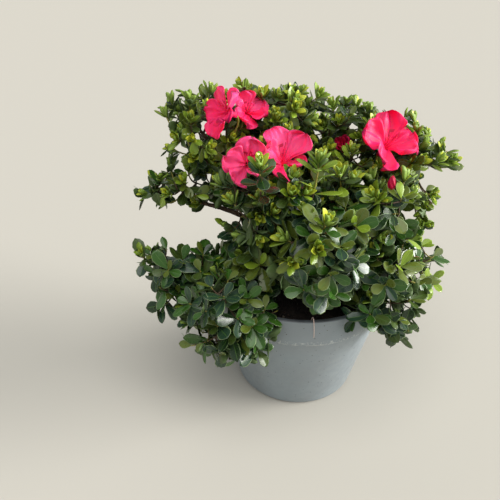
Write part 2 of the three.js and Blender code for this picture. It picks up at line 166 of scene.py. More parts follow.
# %% [markdown]
# ## Finishes
# Plastic, soil, bark, leaf and petal all need two things: a roughness that changes a little over the
# surface, and a fine relief that breaks up highlights. Both are node groups, made once and placed in
# each material with its own scale and depth. Colours that belong to a spray of leaves stay plain values,
# so that they survive any later change of file format. Pot, soil and bark get a second colour in
# patches from the same kind of noise.

# %% Shared groups
NOISE_LOW, NOISE_HIGH = 0.35, 0.65
FINER_GRAIN = 3.7
SPOT_EDGE = 0.03


def new_group(name, inputs, outputs):
    """An empty shader group with number inputs and outputs, and its inner sockets."""
    tree = bpy.data.node_groups.new(name, "ShaderNodeTree")
    for socket, value in inputs.items():
        made = tree.interface.new_socket(socket, in_out="INPUT", socket_type="NodeSocketFloat")
        made.default_value = value
    for socket in outputs:
        tree.interface.new_socket(socket, in_out="OUTPUT", socket_type="NodeSocketFloat")
    return tree, tree.nodes.new("NodeGroupInput").outputs, tree.nodes.new("NodeGroupOutput").inputs


def make_mottle():
    """Soft patches between a low and a high value. Scale is in patches a metre."""
    tree, given, result = new_group("mottle", {"Scale": 100, "Low": 0, "High": 1}, ["Value"])
    place = add(tree, "TexCoord").outputs["Object"]
    cloud = add(tree, "TexNoise", {"Vector": place, "Scale": given["Scale"], "Detail": 4})
    usual = {"From Min": NOISE_LOW, "From Max": NOISE_HIGH}
    wanted = {"To Min": given["Low"], "To Max": given["High"]}
    spread = add(tree, "MapRange", {"Value": cloud.outputs["Fac"], **usual, **wanted})
    tree.links.new(spread.outputs["Result"], result["Value"])
    return tree


def make_relief():
    """A height of fine grains with finer ones on them. Scale is in grains a metre."""
    tree, given, result = new_group("relief", {"Scale": 1000, "Fine": 0.5}, ["Height"])
    place = add(tree, "TexCoord").outputs["Object"]
    grain = add(tree, "TexNoise", {"Vector": place, "Scale": given["Scale"], "Detail": 2})
    finer = add(tree, "Math", {0: given["Scale"], 1: FINER_GRAIN}, operation="MULTIPLY").outputs[0]
    small = add(tree, "TexNoise", {"Vector": place, "Scale": finer, "Detail": 2})
    share = add(tree, "Math", {0: small.outputs["Fac"], 1: given["Fine"]}, operation="MULTIPLY")
    both = add(tree, "Math", {0: grain.outputs["Fac"], 1: share.outputs[0]}, operation="ADD")
    tree.links.new(both.outputs[0], result["Height"])
    return tree


def make_specks():
    """A mask of small spots. Scale is in cells a metre, and Share is how much of a cell a spot fills."""
    tree, given, result = new_group("specks", {"Scale": 600, "Share": 0.2}, ["Mask"])
    place = add(tree, "TexCoord").outputs["Object"]
    cells = add(tree, "TexVoronoi", {"Vector": place, "Scale": given["Scale"]})
    chosen = add(tree, "SeparateColor", {"Color": cells.outputs["Color"]}).outputs["Red"]
    reach = add(tree, "Math", {0: chosen, 1: given["Share"]}, operation="MULTIPLY").outputs[0]
    inside = add(tree, "Math", {0: reach, 1: cells.outputs["Distance"]}, operation="SUBTRACT").outputs[0]
    edge = add(tree, "MapRange", {"Value": inside, "From Min": 0, "From Max": SPOT_EDGE})
    tree.links.new(edge.outputs["Result"], result["Mask"])
    return tree


mottle = make_mottle()
relief = make_relief()
specks = make_specks()
print("shared groups:", mottle.name, relief.name, specks.name)


# %% Materials from the groups
ROUGHNESS_PATCHES = 150


def finish(name, colour, roughness, grain, depth, even=()):
    """A material with its colour, the ends of its roughness, and its relief in mm: grain size and depth."""
    made = bpy.data.materials.new(name)
    made.use_nodes = True
    tree = made.node_tree
    shader = tree.nodes["Principled BSDF"]
    shader.inputs["Base Color"].default_value = colour_of(*colour)
    for socket, value in dict(even).items():
        shader.inputs[socket].default_value = value
    low, high = roughness
    rough = add(tree, "Group", {"Scale": ROUGHNESS_PATCHES, "Low": low, "High": high}, node_tree=mottle)
    tree.links.new(rough.outputs["Value"], shader.inputs["Roughness"])
    height = add(tree, "Group", {"Scale": 1 / (grain * MM)}, node_tree=relief).outputs["Height"]
    bump = add(tree, "Bump", {"Height": height, "Distance": depth * MM, "Strength": 1})
    tree.links.new(bump.outputs["Normal"], shader.inputs["Normal"])
    return made


def lay_over(made, mask, colour):
    """Mixes a colour by a mask over what the material has as its base colour."""
    tree = made.node_tree
    base = tree.nodes["Principled BSDF"].inputs["Base Color"]
    under = base.links[0].from_socket if base.is_linked else tuple(base.default_value)
    layer = add(tree, "Mix", {"Factor": mask, "A": under, "B": colour_of(*colour)}, data_type="RGBA")
    tree.links.new(layer.outputs["Result"], base)


def patch_colour(made, colour, scale, low, high):
    """Lets a second colour show through in patches."""
    ends = {"Scale": scale, "Low": low, "High": high}
    patches = add(made.node_tree, "Group", ends, node_tree=mottle)
    lay_over(made, patches.outputs["Value"], colour)


def speck_colour(made, colour, scale, share):
    """Strews spots of another colour over a material."""
    spots = add(made.node_tree, "Group", {"Scale": scale, "Share": share}, node_tree=specks)
    lay_over(made, spots.outputs["Mask"], colour)


# %% Finishing a piece
def add_piece(name, mesh, materials, nodes=()):
    """Puts a finished mesh on the plant's one body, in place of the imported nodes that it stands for."""
    for made in materials:
        mesh.materials.append(made)
    piece = bpy.data.objects.new(name, mesh)
    bpy.context.scene.collection.objects.link(piece)
    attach(piece, "root")
    if nodes:
        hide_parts(*nodes)
    mesh.calc_loop_triangles()
    print(f"{name}: {len(mesh.loop_triangles)} triangles")
    return piece


def shaped_mesh(name, bm):
    """Turns a bmesh in millimetres into a smooth mesh in metres."""
    bmesh.ops.scale(bm, verts=bm.verts, vec=(MM, MM, MM))
    mesh = bpy.data.meshes.new(name)
    bm.to_mesh(mesh)
    bm.free()
    mesh.shade_smooth()
    return mesh


# %% Turned bodies
AXIS_WELD = 0.0001


def turned(profile, steps):
    """A closed body of revolution round Z, from a profile that runs from axis to axis."""
    bm = bmesh.new()
    points = [bm.verts.new((radius, 0, height)) for radius, height in profile]
    edges = [bm.edges.new(pair) for pair in zip(points, points[1:])]
    circle = {"axis": (0, 0, 1), "cent": (0, 0, 0), "angle": TURN, "steps": steps, "use_merge": True}
    bmesh.ops.spin(bm, geom=points + edges, **circle)
    bmesh.ops.remove_doubles(bm, verts=bm.verts, dist=AXIS_WELD)
    bmesh.ops.recalc_face_normals(bm, faces=bm.faces)
    return bm


# %% [markdown]
# ## The pot
# A nursery pot is blown from thin grey plastic: a plain taper, a small moulded step, and a straighter
# band that ends in a rolled lip. It could be cut from a cylinder, but its outline is all that matters,
# so a profile is spun about the axis and its corners are rounded by a Bevel modifier. Its finish is
# a satin grey with faint streaks, dried water marks along the step, and specks of soil near the rim.
# A pale line along the step is partly dust and partly a painted highlight of its edge, and a dark
# ring along the top of the lip is painted shade and a painted reflection of the leaves above it.

# %% Pot shape
POT_HEIGHT = 136
POT_FOOT_RADIUS = 67.5
POT_FOOT_EDGE = 3
POT_STEP_HEIGHT = 105
POT_STEP_RADIUS = 91
POT_STEP_WIDTH = 1.6
POT_RIM_RADIUS = 95
POT_LIP_WIDTH = 5
POT_EDGE = 1
POT_WALL = 2.2
POT_FLOOR = 4
POT_SIDES = 128

pot_profile = [
    (0, 0),
    (POT_FOOT_RADIUS - POT_FOOT_EDGE, 0),
    (POT_FOOT_RADIUS, POT_FOOT_EDGE),
    (POT_STEP_RADIUS, POT_STEP_HEIGHT),
    (POT_STEP_RADIUS + POT_STEP_WIDTH, POT_STEP_HEIGHT + POT_EDGE),
    (POT_RIM_RADIUS, POT_HEIGHT - POT_EDGE),
    (POT_RIM_RADIUS - POT_EDGE, POT_HEIGHT),
    (POT_RIM_RADIUS - POT_LIP_WIDTH + POT_EDGE, POT_HEIGHT),
    (POT_RIM_RADIUS - POT_LIP_WIDTH, POT_HEIGHT - POT_EDGE),
    (POT_STEP_RADIUS - POT_WALL, POT_STEP_HEIGHT),
    (POT_FOOT_RADIUS - POT_WALL, POT_FLOOR),
    (0, POT_FLOOR),
]

# %% A ring of another colour
RING_CORE = 0.4


def lay_ring(made, colour, height, half, scale, low, high):
    """Lays a broken ring of a colour round Z at one height in mm, in patches as mottle makes them."""
    tree = made.node_tree
    place = add(tree, "TexCoord").outputs["Object"]
    level = add(tree, "SeparateXYZ", {"Vector": place}).outputs["Z"]
    off = add(tree, "Math", {0: level, 1: height * MM}, operation="SUBTRACT").outputs[0]
    near = add(tree, "Math", {0: off}, operation="ABSOLUTE").outputs[0]
    ends = {"From Min": half * MM, "From Max": half * MM * RING_CORE}
    ring = add(tree, "MapRange", {"Value": near, **ends}).outputs["Result"]
    patches = add(tree, "Group", {"Scale": scale, "Low": low, "High": high}, node_tree=mottle)
    mask = add(tree, "Math", {0: ring, 1: patches.outputs["Value"]}, operation="MULTIPLY").outputs[0]
    lay_over(made, mask, colour)


# %% Pot finish and piece
WATER_MARK_ABOVE_STEP, DUST_AND_HIGHLIGHT_LINE_ABOVE_STEP = 2, 0.6
CORNER_WIDTH = 0.5
CORNER_FROM_DEGREES = 12

pot_plastic = finish("pot_plastic", (138, 149, 155), (0.42, 0.56), grain=1.4, depth=0.03)
patch_colour(pot_plastic, (128, 135, 138), scale=14, low=0, high=0.8)
speck_colour(pot_plastic, (62, 54, 46), scale=260, share=0.16)
water_mark, dust_and_highlight_line = POT_STEP_HEIGHT + WATER_MARK_ABOVE_STEP, POT_STEP_HEIGHT + DUST_AND_HIGHLIGHT_LINE_ABOVE_STEP
lay_ring(pot_plastic, (200, 203, 200), water_mark, half=4, scale=520, low=-1.2, high=0.7)
# The pale line just above the step is partly dust and partly a painted highlight along the step's edge.
lay_ring(pot_plastic, (222, 223, 218), dust_and_highlight_line, half=0.9, scale=110, low=-0.25, high=1.2)
# A dark ring along the top of the lip is painted shade and a painted reflection of the leaves above it.
lay_ring(pot_plastic, (84, 88, 91), POT_HEIGHT, half=1.1, scale=60, low=0.8, high=1)
pot_mesh = shaped_mesh("pot_shell", turned(pot_profile, POT_SIDES))
pot = add_piece("pot_shell", pot_mesh, [pot_plastic], ["pot"])
rounding = pot.modifiers.new("rounded corners", "BEVEL")
rounding.width = CORNER_WIDTH * MM
rounding.segments = 3
rounding.limit_method = "ANGLE"
rounding.angle_limit = math.radians(CORNER_FROM_DEGREES)


# %% [markdown]
# ## The soil
# Potting soil is dark peat that settles a little below the rim. One smooth disc would look like rubber,
# so the body's top is uneven, and some two thousand crumbs lie on it. Each crumb is a copy of one small
# rough stone, turned and stretched at random, in one of three browns. The random draws are seeded, so
# the same crumbs lie in the same places each time.

# %% Joined copies
def arrays_of(bm):
    """The points, triangles and face kinds of a bmesh, which is then freed."""
    bmesh.ops.triangulate(bm, faces=bm.faces)
    bm.verts.index_update()
    points = np.array([vert.co for vert in bm.verts])
    faces = np.array([[vert.index for vert in face.verts] for face in bm.faces])
    kinds = np.array([face.material_index for face in bm.faces])
    bm.free()
    return points, faces, kinds


def joined_mesh(name, copies):
    """One smooth mesh of many copies, each with its points in millimetres, its triangles and their kinds."""
    starts = np.cumsum([0] + [len(points) for points, _, _ in copies[:-1]])
    points = np.concatenate([points for points, _, _ in copies]) * MM
    faces = np.concatenate([faces + start for (_, faces, _), start in zip(copies, starts)])
    mesh = bpy.data.meshes.new(name)
    mesh.from_pydata(points, [], faces)
    mesh.polygons.foreach_set("material_index", np.concatenate([kinds for _, _, kinds in copies]))
    mesh.shade_smooth()
    return mesh


# %% Soil body
SOIL_EDGE_HEIGHT = 120
SOIL_MIDDLE_HEIGHT = 126
SOIL_RADIUS = 91.6
SOIL_OFF_RIM = 2.3
SOIL_PLAY = 0.3
SOIL_RINGS, SOIL_SIDES = 24, 96
SOIL_TOP = 1
DIP, DIP_FINENESS = 1.2, 0.09
LUMP, LUMP_FINENESS = 0.8, 0.4


def between(ends, share):
    """The value at a share of the way from one end to the other."""
    return ends[0] + (ends[1] - ends[0]) * share


def soil_level(out):
    """The height of the soil, still smooth, so far from the middle."""
    return between((SOIL_EDGE_HEIGHT, SOIL_MIDDLE_HEIGHT), math.cos(out / SOIL_RADIUS * math.pi / 2))


soil_profile = [
    (0, POT_FLOOR + SOIL_PLAY),
    (POT_FOOT_RADIUS - POT_WALL - SOIL_PLAY, POT_FLOOR + SOIL_PLAY),
    (POT_STEP_RADIUS - POT_WALL - SOIL_PLAY, POT_STEP_HEIGHT),
]
for ring in range(SOIL_RINGS + 1):
    out = SOIL_RADIUS * (1 - ring / SOIL_RINGS)
    soil_profile.append((min(out, SOIL_RADIUS - SOIL_OFF_RIM), soil_level(out)))
bm = turned(soil_profile, SOIL_SIDES)
for vert in bm.verts:
    if vert.co.z > SOIL_EDGE_HEIGHT - SOIL_TOP:
        dip = DIP * noise.noise(vert.co * DIP_FINENESS) - DIP / 2
        vert.co.z += dip + LUMP * noise.noise(vert.co * LUMP_FINENESS)
soil_dark = finish("soil_dark", (26, 20, 17), (0.8, 1), grain=1.1, depth=0.5)
patch_colour(soil_dark, (46, 35, 28), scale=220, low=0, high=0.8)
add_piece("soil_body", shaped_mesh("soil_body", bm), [soil_dark], ["soil"])

# %% Crumbs
CRUMBS = 2200
CRUMBS_OFF_EDGE = 5
CRUMB_SIZES = (0.5, 2)
CRUMB_BREADTH, CRUMB_MORE_BREADTH, CRUMB_HEIGHT = 0.6, 0.5, 0.7
CRUMB_ROUGHNESS, CRUMB_FINENESS = 0.35, 2.3
CRUMB_SINK = 0.2
DARK_BROWN_PALE = (12, 10, 1)

soil_brown = finish("soil_brown", (50, 37, 29), (0.8, 1), grain=0.7, depth=0.4)
soil_pale = finish("soil_pale", (122, 112, 100), (0.8, 1), grain=0.6, depth=0.3)
bm = bmesh.new()
bmesh.ops.create_icosphere(bm, subdivisions=1, radius=1)
for vert in bm.verts:
    vert.co *= 1 + CRUMB_ROUGHNESS * noise.noise(vert.co * CRUMB_FINENESS)
crumb_points, crumb_faces, crumb_kinds = arrays_of(bm)

dice = random.Random(7)
crumbs = []
for _ in range(CRUMBS):
    out = (SOIL_RADIUS - CRUMBS_OFF_EDGE) * math.sqrt(dice.random())
    turn = TURN * dice.random()
    size = between(CRUMB_SIZES, dice.random() ** 3)
    breadth = size * (CRUMB_BREADTH + CRUMB_MORE_BREADTH * dice.random())
    stretch = Matrix.Diagonal((size, breadth, size * CRUMB_HEIGHT))
    turned_to = Matrix.Rotation(TURN * dice.random(), 3, (dice.random(), dice.random(), 1))
    place = np.array((out * math.cos(turn), out * math.sin(turn), soil_level(out) - CRUMB_SINK))
    kind = dice.choices((0, 1, 2), DARK_BROWN_PALE)[0]
    points = crumb_points @ np.array(turned_to @ stretch).T + place
    crumbs.append((points, crumb_faces, crumb_kinds + kind))
soils = [soil_dark, soil_brown, soil_pale]
add_piece("soil_crumbs", joined_mesh("soil_crumbs", crumbs), soils)


# %% [markdown]
# ## The plan of the plant
# A short stem leaves the soil and forks into boughs, and each bough ends in a mass of foliage. A mass
# is an ellipsoid cut off by planes halfway to its neighbours. The table gives each one's middle, its
# reach, the limb that its bough leaves and where, the bough's rise and its two radii. These are the
# values that the imported solids were grown from, so what grows here fills the same room.
#
# A bloom is given by its throat, the way that it faces, its width and its roll in degrees. Each of its
# lobes then has a lean in degrees, a length and a tone, from 0 for the lightest to 3 for the darkest.
# The tones paint light and shade: lighter pinks on lobes in the light, darker ones on lobes in shade,
# and the darkest on the bloom that lies deep among the leaves.

# %% Masses and blooms
Mass = namedtuple("Mass", "middle reach limb at rise radii")
MASSES = {
    "crown_left": Mass((-98, 10, 280), (44, 50, 42), "stem", 0.96, -8, (4.4, 2.8)),
    "crown_top": Mass((-30, 22, 280), (46, 55, 46), "stem", 1, 0, (4.6, 2.9)),
    "crown_right": Mass((47, 22, 268), (50, 55, 44), "stem", 0.9, -6, (4.6, 2.9)),
    "shoulder_right": Mass((101, 2, 245), (43, 50, 52), "bough_crown_right", 0.24, -6, (3.4, 2.5)),
    "arm_left": Mass((-120, -8, 231), (46, 36, 27), "stem", 0.93, 16, (3.4, 2.2)),
    "breast_left": Mass((-40, -48, 232), (48, 44, 40), "bough_crown_top", 0.14, 2, (3.2, 2.4)),
    "breast_right": Mass((52, -52, 228), (52, 46, 42), "stem", 0.78, 2, (3.8, 2.5)),
    "heart_left": Mass((-50, -40, 172), (38, 42, 36), "stem", 0.74, 4, (3, 2.3)),
    "skirt_front": Mass((8, -82, 204), (47, 42, 48), "stem", 0.6, 5, (3.6, 2.4)),
    "low_left": Mass((-126, -42, 156), (47, 46, 38), "stem", 0.5, 8, (4.2, 2.5)),
    "low_left_front": Mass((-74, -86, 138), (46, 44, 46), "bough_low_left", 0.28, 4, (3.2, 2.4)),
    "low_right": Mass((102, -28, 168), (42, 46, 38), "stem", 0.62, 6, (4, 2.5)),
    "skirt_right": Mass((64, -62, 180), (40, 44, 36), "bough_low_right", 0.24, 4, (3.2, 2.4)),
    "low_right_front": Mass((77, -82, 136), (39, 38, 40), "bough_low_right", 0.36, 4, (3, 2.3)),
    "back_left": Mass((-70, 78, 236), (54, 50, 50), "stem", 0.8, -4, (4.2, 2.7)),
    "back_middle": Mass((8, 94, 232), (46, 48, 52), "stem", 0.86, -6, (4.2, 2.7)),
    "back_right": Mass((82, 76, 226), (54, 50, 50), "bough_back_middle", 0.16, -4, (3.4, 2.5)),
    "low_back_left": Mass((-36, 84, 160), (42, 44, 38), "stem", 0.56, 6, (3.6, 2.4)),
    "low_back_right": Mass((62, 80, 158), (46, 44, 38), "stem", 0.5, 6, (3.6, 2.4)),
}

Bloom = namedtuple("Bloom", "throat facing width roll lobes")
BLOOMS = [
    Bloom((-70, -31, 311), (-0.8, -0.45, 0.4), 40, 54,
          ((75, 1.1, 0), (60, 1.1, 0), (60, 1.1, 1), (75, 1.15, 1), (55, 1.1, 2))),
    Bloom((-57, 0, 303), (0.26, -0.72, 0.64), 41, 30,
          ((90, 0.9, 0), (65, 0.9, 0), (50, 0.8, 0), (55, 1, 1), (45, 1, 1))),
    Bloom((-56, -60, 276), (0.12, -0.95, 0.24), 48, 12,
          ((50, 0.75, 0), (70, 0.95, 0), (65, 0.95, 0), (70, 0.75, 0), (15, 0.85, 0))),
    Bloom((-26, -42, 268), (0.25, -0.43, 0.87), 53, 24,
          ((45, 1.15, 0), (60, 1.15, 0), (50, 0.98, 0), (80, 0.98, 1), (45, 0.8, 0))),
    Bloom((66, -25, 277), (0.41, -0.49, 0.77), 53, 0,
          ((60, 1.05, 1), (60, 1.15, 2), (75, 1.15, 2), (80, 1.1, 1), (45, 1.05, 1))),
    Bloom((35, 0, 270), (-0.2, -0.6, 0.75), 25, 0,
          ((24, 1, 3), (28, 1, 3), (24, 1, 3), (26, 0.9, 3), (28, 1, 3))),
]
BUD = (67, -62, 254)
print(len(MASSES), "masses and", len(BLOOMS), "blooms")

# %% Curves and seeded numbers
GOLDEN_ANGLE = math.pi * (3 - math.sqrt(5))
GAP = 0.3


def unit(vector):
    """A vector's way, with length 1."""
    return vector / np.linalg.norm(vector)


def bezier(guides, shares):
    """Points at some shares along a Bezier curve, found by drawing its guide points together."""
    layers = [np.asarray(guide, float) for guide in guides]
    shares = np.atleast_1d(shares)[:, None]
    while len(layers) > 1:
        layers = [a + (b - a) * shares for a, b in zip(layers, layers[1:])]
    return layers[0]


def stream(seed):
    """The same seeded numbers from 0 to 1 that the solids were grown with."""
    whole, stride = 0xFFFFFFFF, 0x6D2B79F5
    state = seed
    while True:
        state = (state + stride) & whole
        mixed = ((state ^ (state >> 15)) * (state | 1)) & whole
        mixed ^= (mixed + (mixed ^ (mixed >> 7)) * (mixed | 61)) & whole
        yield ((mixed ^ (mixed >> 14)) & whole) / 2**32


# %% Spaces of the masses
GATE_SHARE = 0.82
GATE_MARGIN = 4
Space = namedtuple("Space", "middle reach ways limits gate")


def reach_along(mass, way):
    """How far a mass reaches from its middle in a given way."""
    return 1 / np.linalg.norm(way / np.array(mass.reach))


def space_of(name, foot):
    """A mass's middle and reach, the planes that part it from its neighbours, and its bough's gate."""
    own = MASSES[name]
    middle = np.array(own.middle, float)
    ways, limits = [], []
    for mass in MASSES.values():
        if mass is not own:
            apart = np.array(mass.middle) - middle
            way = unit(apart)
            mine, theirs = reach_along(own, way), reach_along(mass, way)
            ways.append(way)
            limits.append(np.linalg.norm(apart) * mine / (mine + theirs) - GAP / 2)
    inward = unit(foot - middle)
    facing = [(inward @ way, limit) for way, limit in zip(ways, limits) if inward @ way > 0]
    depths = [limit / share - GATE_MARGIN for share, limit in facing]
    depth = min([GATE_SHARE * reach_along(own, inward)] + depths)
    return Space(middle, np.array(own.reach), np.array(ways), np.array(limits), middle + inward * depth)


# %% Limbs
STEM_TOP = (-4, -3, 160)
STEM_FOOT_HEIGHT = SOIL_MIDDLE_HEIGHT + GAP
limbs = {"stem": [(0, 0, STEM_FOOT_HEIGHT), (0, 0, (STEM_FOOT_HEIGHT + STEM_TOP[2]) / 2), STEM_TOP]}
spaces = {}
for name, mass in MASSES.items():
    foot = bezier(limbs[mass.limb], mass.at)[0]
    spaces[name] = space_of(name, foot)
    limbs["bough_" + name] = [foot, (foot + spaces[name].gate) / 2 + UP * mass.rise, spaces[name].gate]
longest = max(np.linalg.norm(np.subtract(guides[2], guides[0])) for guides in limbs.values())
print(len(limbs), "limbs, the longest", round(longest), "mm")


# %% [markdown]
# ## Stem and boughs
# The wood is brown and thin, and most of it hides behind leaves. A limb could be a curve with a round
# section, but where a bough leaves the stem the two should flow into each other. So each limb is a copy
# of one straight rod, bent along its curve and tapered. The rods are then joined by a voxel remesh, and
# small ridges are pushed into the skin that it leaves.

# %% Rods bent along curves
BIT = 0.01


def rod(sides, steps):
    """A straight closed rod of radius 1 along Z, from 0 to 1, with rings to bend it at."""
    bm = bmesh.new()
    bmesh.ops.create_cone(bm, cap_ends=True, segments=sides, radius1=1, radius2=1, depth=1)
    bmesh.ops.translate(bm, verts=bm.verts, vec=(0, 0, 0.5))
    rising = [edge for edge in bm.edges if abs(edge.verts[0].co.z - edge.verts[1].co.z) > 0.5]
    bmesh.ops.subdivide_edges(bm, edges=rising, cuts=steps - 1, use_grid_fill=True)
    return arrays_of(bm)


def bent(shape, guides, radius_at, kinds_at=None):
    """A rod bent along a Bezier curve, with its radius worked out from the share of the length."""
    points, faces, kinds = shape
    shares = points[:, 2]
    ahead = bezier(guides, shares + BIT) - bezier(guides, shares - BIT)
    ahead /= np.linalg.norm(ahead, axis=1)[:, None]
    steady = np.eye(3)[np.argmin(np.abs(np.subtract(guides[-1], guides[0])))]
    across = np.cross(ahead, steady)
    across /= np.linalg.norm(across, axis=1)[:, None]
    over = np.cross(ahead, across)
    radii = radius_at(shares)[:, None]
    skin = bezier(guides, shares) + (across * points[:, :1] + over * points[:, 1:2]) * radii
    return skin, faces, kinds if kinds_at is None else kinds_at(shares[faces].mean(axis=1))


def taper(foot, tip):
    """A radius that changes evenly from the foot of a rod to its tip."""
    return lambda shares: foot + (tip - foot) * shares


def one_kind(kind):
    """The same material all along a rod."""
    return lambda shares: np.full(len(shares), kind)


# %% Limbs joined to one skin with bark relief
STEM_RADII = (7, 5.5)
FLARE, FLARE_SHARE = 3.5, 0.3
LIMB_SIDES, LIMB_STEPS = 12, 20
INNER_BEND, INNER_END = 0.5, 0.3
INNER_TIP_RADIUS = 1.5
VOXEL = 0.85
SMOOTHINGS = 4
RIDGES = ((0.35, 0.30), (0.9, 0.16))
RIDGE_STRETCH = 0.4


def stem_radius(shares):
    """The radius of the stem, which flares out towards its root."""
    flare = np.maximum(0, 1 - shares / FLARE_SHARE) ** 2
    return between(STEM_RADII, shares) + FLARE * flare


def inner_stem(name):
    """The stem inside a mass: straight on from its bough's tip, then past the middle of its space."""
    space = spaces[name]
    guides = limbs["bough_" + name]
    ahead = unit(guides[2] - guides[1])
    start = space.gate + ahead * GAP
    bend = start + ahead * INNER_BEND * np.linalg.norm(start - space.middle)
    out = unit(space.middle - np.array(STEM_TOP))
    end = space.middle + out * INNER_END * reach_along(MASSES[name], out)
    return [start, bend, space.middle, end]


limb_rod = rod(LIMB_SIDES, LIMB_STEPS)
wood = [bent(limb_rod, limbs["stem"], stem_radius)]
for name, mass in MASSES.items():
    wood.append(bent(limb_rod, limbs["bough_" + name], taper(*mass.radii)))
    wood.append(bent(limb_rod, inner_stem(name), taper(mass.radii[1], INNER_TIP_RADIUS)))
rough_wood = bpy.data.objects.new("rough_wood", joined_mesh("rough_wood", wood))
bpy.context.scene.collection.objects.link(rough_wood)
skin = rough_wood.modifiers.new("one skin", "REMESH")
skin.mode = "VOXEL"
skin.voxel_size = VOXEL * MM
even = rough_wood.modifiers.new("even", "SMOOTH")
even.iterations = SMOOTHINGS
graph = bpy.context.evaluated_depsgraph_get()
bark_mesh = bpy.data.meshes.new_from_object(rough_wood.evaluated_get(graph))
bpy.data.objects.remove(rough_wood)
bark_mesh.shade_smooth()
normals = [vert.normal.copy() for vert in bark_mesh.vertices]
for vert, normal in zip(bark_mesh.vertices, normals):
    for fineness, depth in RIDGES:
        place = Vector((vert.co.x, vert.co.y, vert.co.z * RIDGE_STRETCH)) / MM * fineness
        vert.co += normal * depth * MM * noise.noise(place)

bark = finish("bark", (88, 66, 50), (0.7, 0.95), grain=0.8, depth=0.25)
patch_colour(bark, (52, 38, 29), scale=260, low=0, high=0.9)
patch_colour(bark, (126, 108, 88), scale=120, low=-0.6, high=0.5)
add_piece("bark_limbs", bark_mesh, [bark], list(limbs))


# %% [markdown]
# ## Twigs
# Inside each mass the same twigs leave the stem as in its solid, with tips spread by the golden angle.
# Each of them now carries on to several finer twigs. Their tips lie near the outside of the space,
# spread by the same angle, and each one springs from the nearest joint of an earlier twig and bends
# outwards and up. A few leaders reach out to where the longest shoots show, or into hollow places
# between the masses. Where a tip would leave the space, or touch pot, limb or bloom, no twig grows. No
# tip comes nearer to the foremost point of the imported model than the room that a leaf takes.
#
# A real shrub also has gaps that one can look through. They could be modelled as holes in each mass,
# but a gap is given most easily where it is seen. So each is a spot in the camera's picture, with a
# radius in pixels, and nothing grows on the line of sight through it.

# %% Lines of sight that stay open
PICTURE = 500
FOCAL = camera.data.lens / camera.data.sensor_width * PICTURE
DOWN_COS, DOWN_SIN = math.cos(math.radians(LOOKING_DOWN)), math.sin(math.radians(LOOKING_DOWN))
SKY = {
    "over the crown": [
        (160, 99, 4), (182, 83, 6), (196, 88, 4), (226, 79, 6), (258, 78, 5), (274, 78, 6), (303, 74, 7),
        (322, 77, 7), (335, 86, 7), (346, 86, 6), (368, 92, 7), (384, 97, 9), (397, 104, 7), (426, 112, 9),
        (440, 126, 9), (455, 142, 7),
    ],
    "left of the crown": [
        (158, 126, 7), (150, 141, 11), (140, 180, 5), (165, 125, 4), (168, 140, 3), (180, 146, 2),
        (184, 152, 2), (160, 164, 5), (178, 166, 2),
    ],
    "through the crown": [
        (199, 137, 3), (224, 133, 3), (210, 125, 3), (190, 179, 3), (196, 185, 3), (175, 196, 1),
        (208, 178, 2), (317, 134, 3), (353, 127, 3), (357, 160, 3), (364, 183, 2),
    ],
    "under the arm": [
        (150, 205, 4), (150, 212, 5), (162, 214, 3), (174, 207, 4), (172, 217, 6), (185, 213, 3),
        (205, 208, 3), (150, 230, 12), (175, 230, 11), (200, 226, 11), (222, 213, 6), (237, 216, 4),
        (240, 224, 2), (190, 240, 2),
    ],
    "left of the low boughs": [
        (131, 268, 5), (143, 284, 6), (147, 296, 6), (145, 317, 6), (165, 336, 9), (178, 360, 10),
    ],
    "through the low left boughs": [
        (170, 253, 2), (173, 303, 2), (218, 287, 1), (222, 312, 2), (215, 341, 2), (192, 332, 3),
    ],
    "under the low left boughs": [
        (195, 359, 5), (212, 374, 7), (232, 374, 8), (252, 380, 8), (272, 378, 6),
    ],
    "right of the crown": [
        (425, 187, 4), (432, 177, 6), (443, 180, 7), (452, 192, 10), (445, 208, 7), (431, 214, 4),
        (408, 215, 6), (427, 233, 4), (442, 234, 8), (429, 251, 4), (450, 247, 4),
    ],
    "right of the low boughs": [
        (451, 272, 4), (437, 271, 3), (452, 284, 6), (442, 305, 10), (428, 322, 8), (425, 305, 3),
        (425, 343, 8),
    ],
    "through the low right boughs": [
        (388, 254, 2), (417, 275, 2), (391, 305, 2), (408, 305, 2),
    ],
    "under the low right boughs": [
        (413, 357, 7), (405, 346, 2), (397, 361, 7), (380, 350, 8), (374, 337, 2), (364, 340, 8),
    ],
}
sky = [spot for spots in SKY.values() for spot in spots]


def in_picture(points):
    """Where points in millimetres fall in the picture, in pixels."""
    seen = points - np.array(EYE)
    ahead = seen[:, 1] * DOWN_COS - seen[:, 2] * DOWN_SIN
    above = seen[:, 1] * DOWN_SIN + seen[:, 2] * DOWN_COS
    return PICTURE / 2 + FOCAL * np.stack([seen[:, 0], -above], axis=1) / ahead[:, None]


def place_seen(x, y, depth):
    """The place in millimetres that shows at a pixel and lies at a depth along Y."""
    right, below = (x - PICTURE / 2) / FOCAL, (y - PICTURE / 2) / FOCAL
    way = np.array((right, DOWN_COS - below * DOWN_SIN, -DOWN_SIN - below * DOWN_COS))
    return np.array(EYE) + way * (depth - EYE[1]) / way[1]


def off_sky(points, spare):
    """Which points keep so many pixels off the lines of sight that stay open."""
    places = in_picture(points)
    return np.all([np.hypot(*(places - (x, y)).T) > radius + spare for x, y, radius in sky], axis=0)


# %% Where a twig or leaf may be
SPACE_OVERRUN = 1.1
PLANE_OVERRUN = 5
LEAF_OVERRUN = 1.22
LEAF_PLANE_OVERRUN = 10
CLEAR_OF_LIMBS = 1.2
CLEAR_OF_POT = 3
LIMB_SAMPLES = 25
BLOOM_MIDDLE, BLOOM_ROOM = 0.22, 0.42

samples = np.linspace(0, 1, LIMB_SAMPLES)
limb_points = np.concatenate([bezier(guides, samples) for guides in limbs.values()])
bough_radii = [between(mass.radii, samples) for mass in MASSES.values()]
limb_radii = np.concatenate([stem_radius(samples)] + bough_radii)


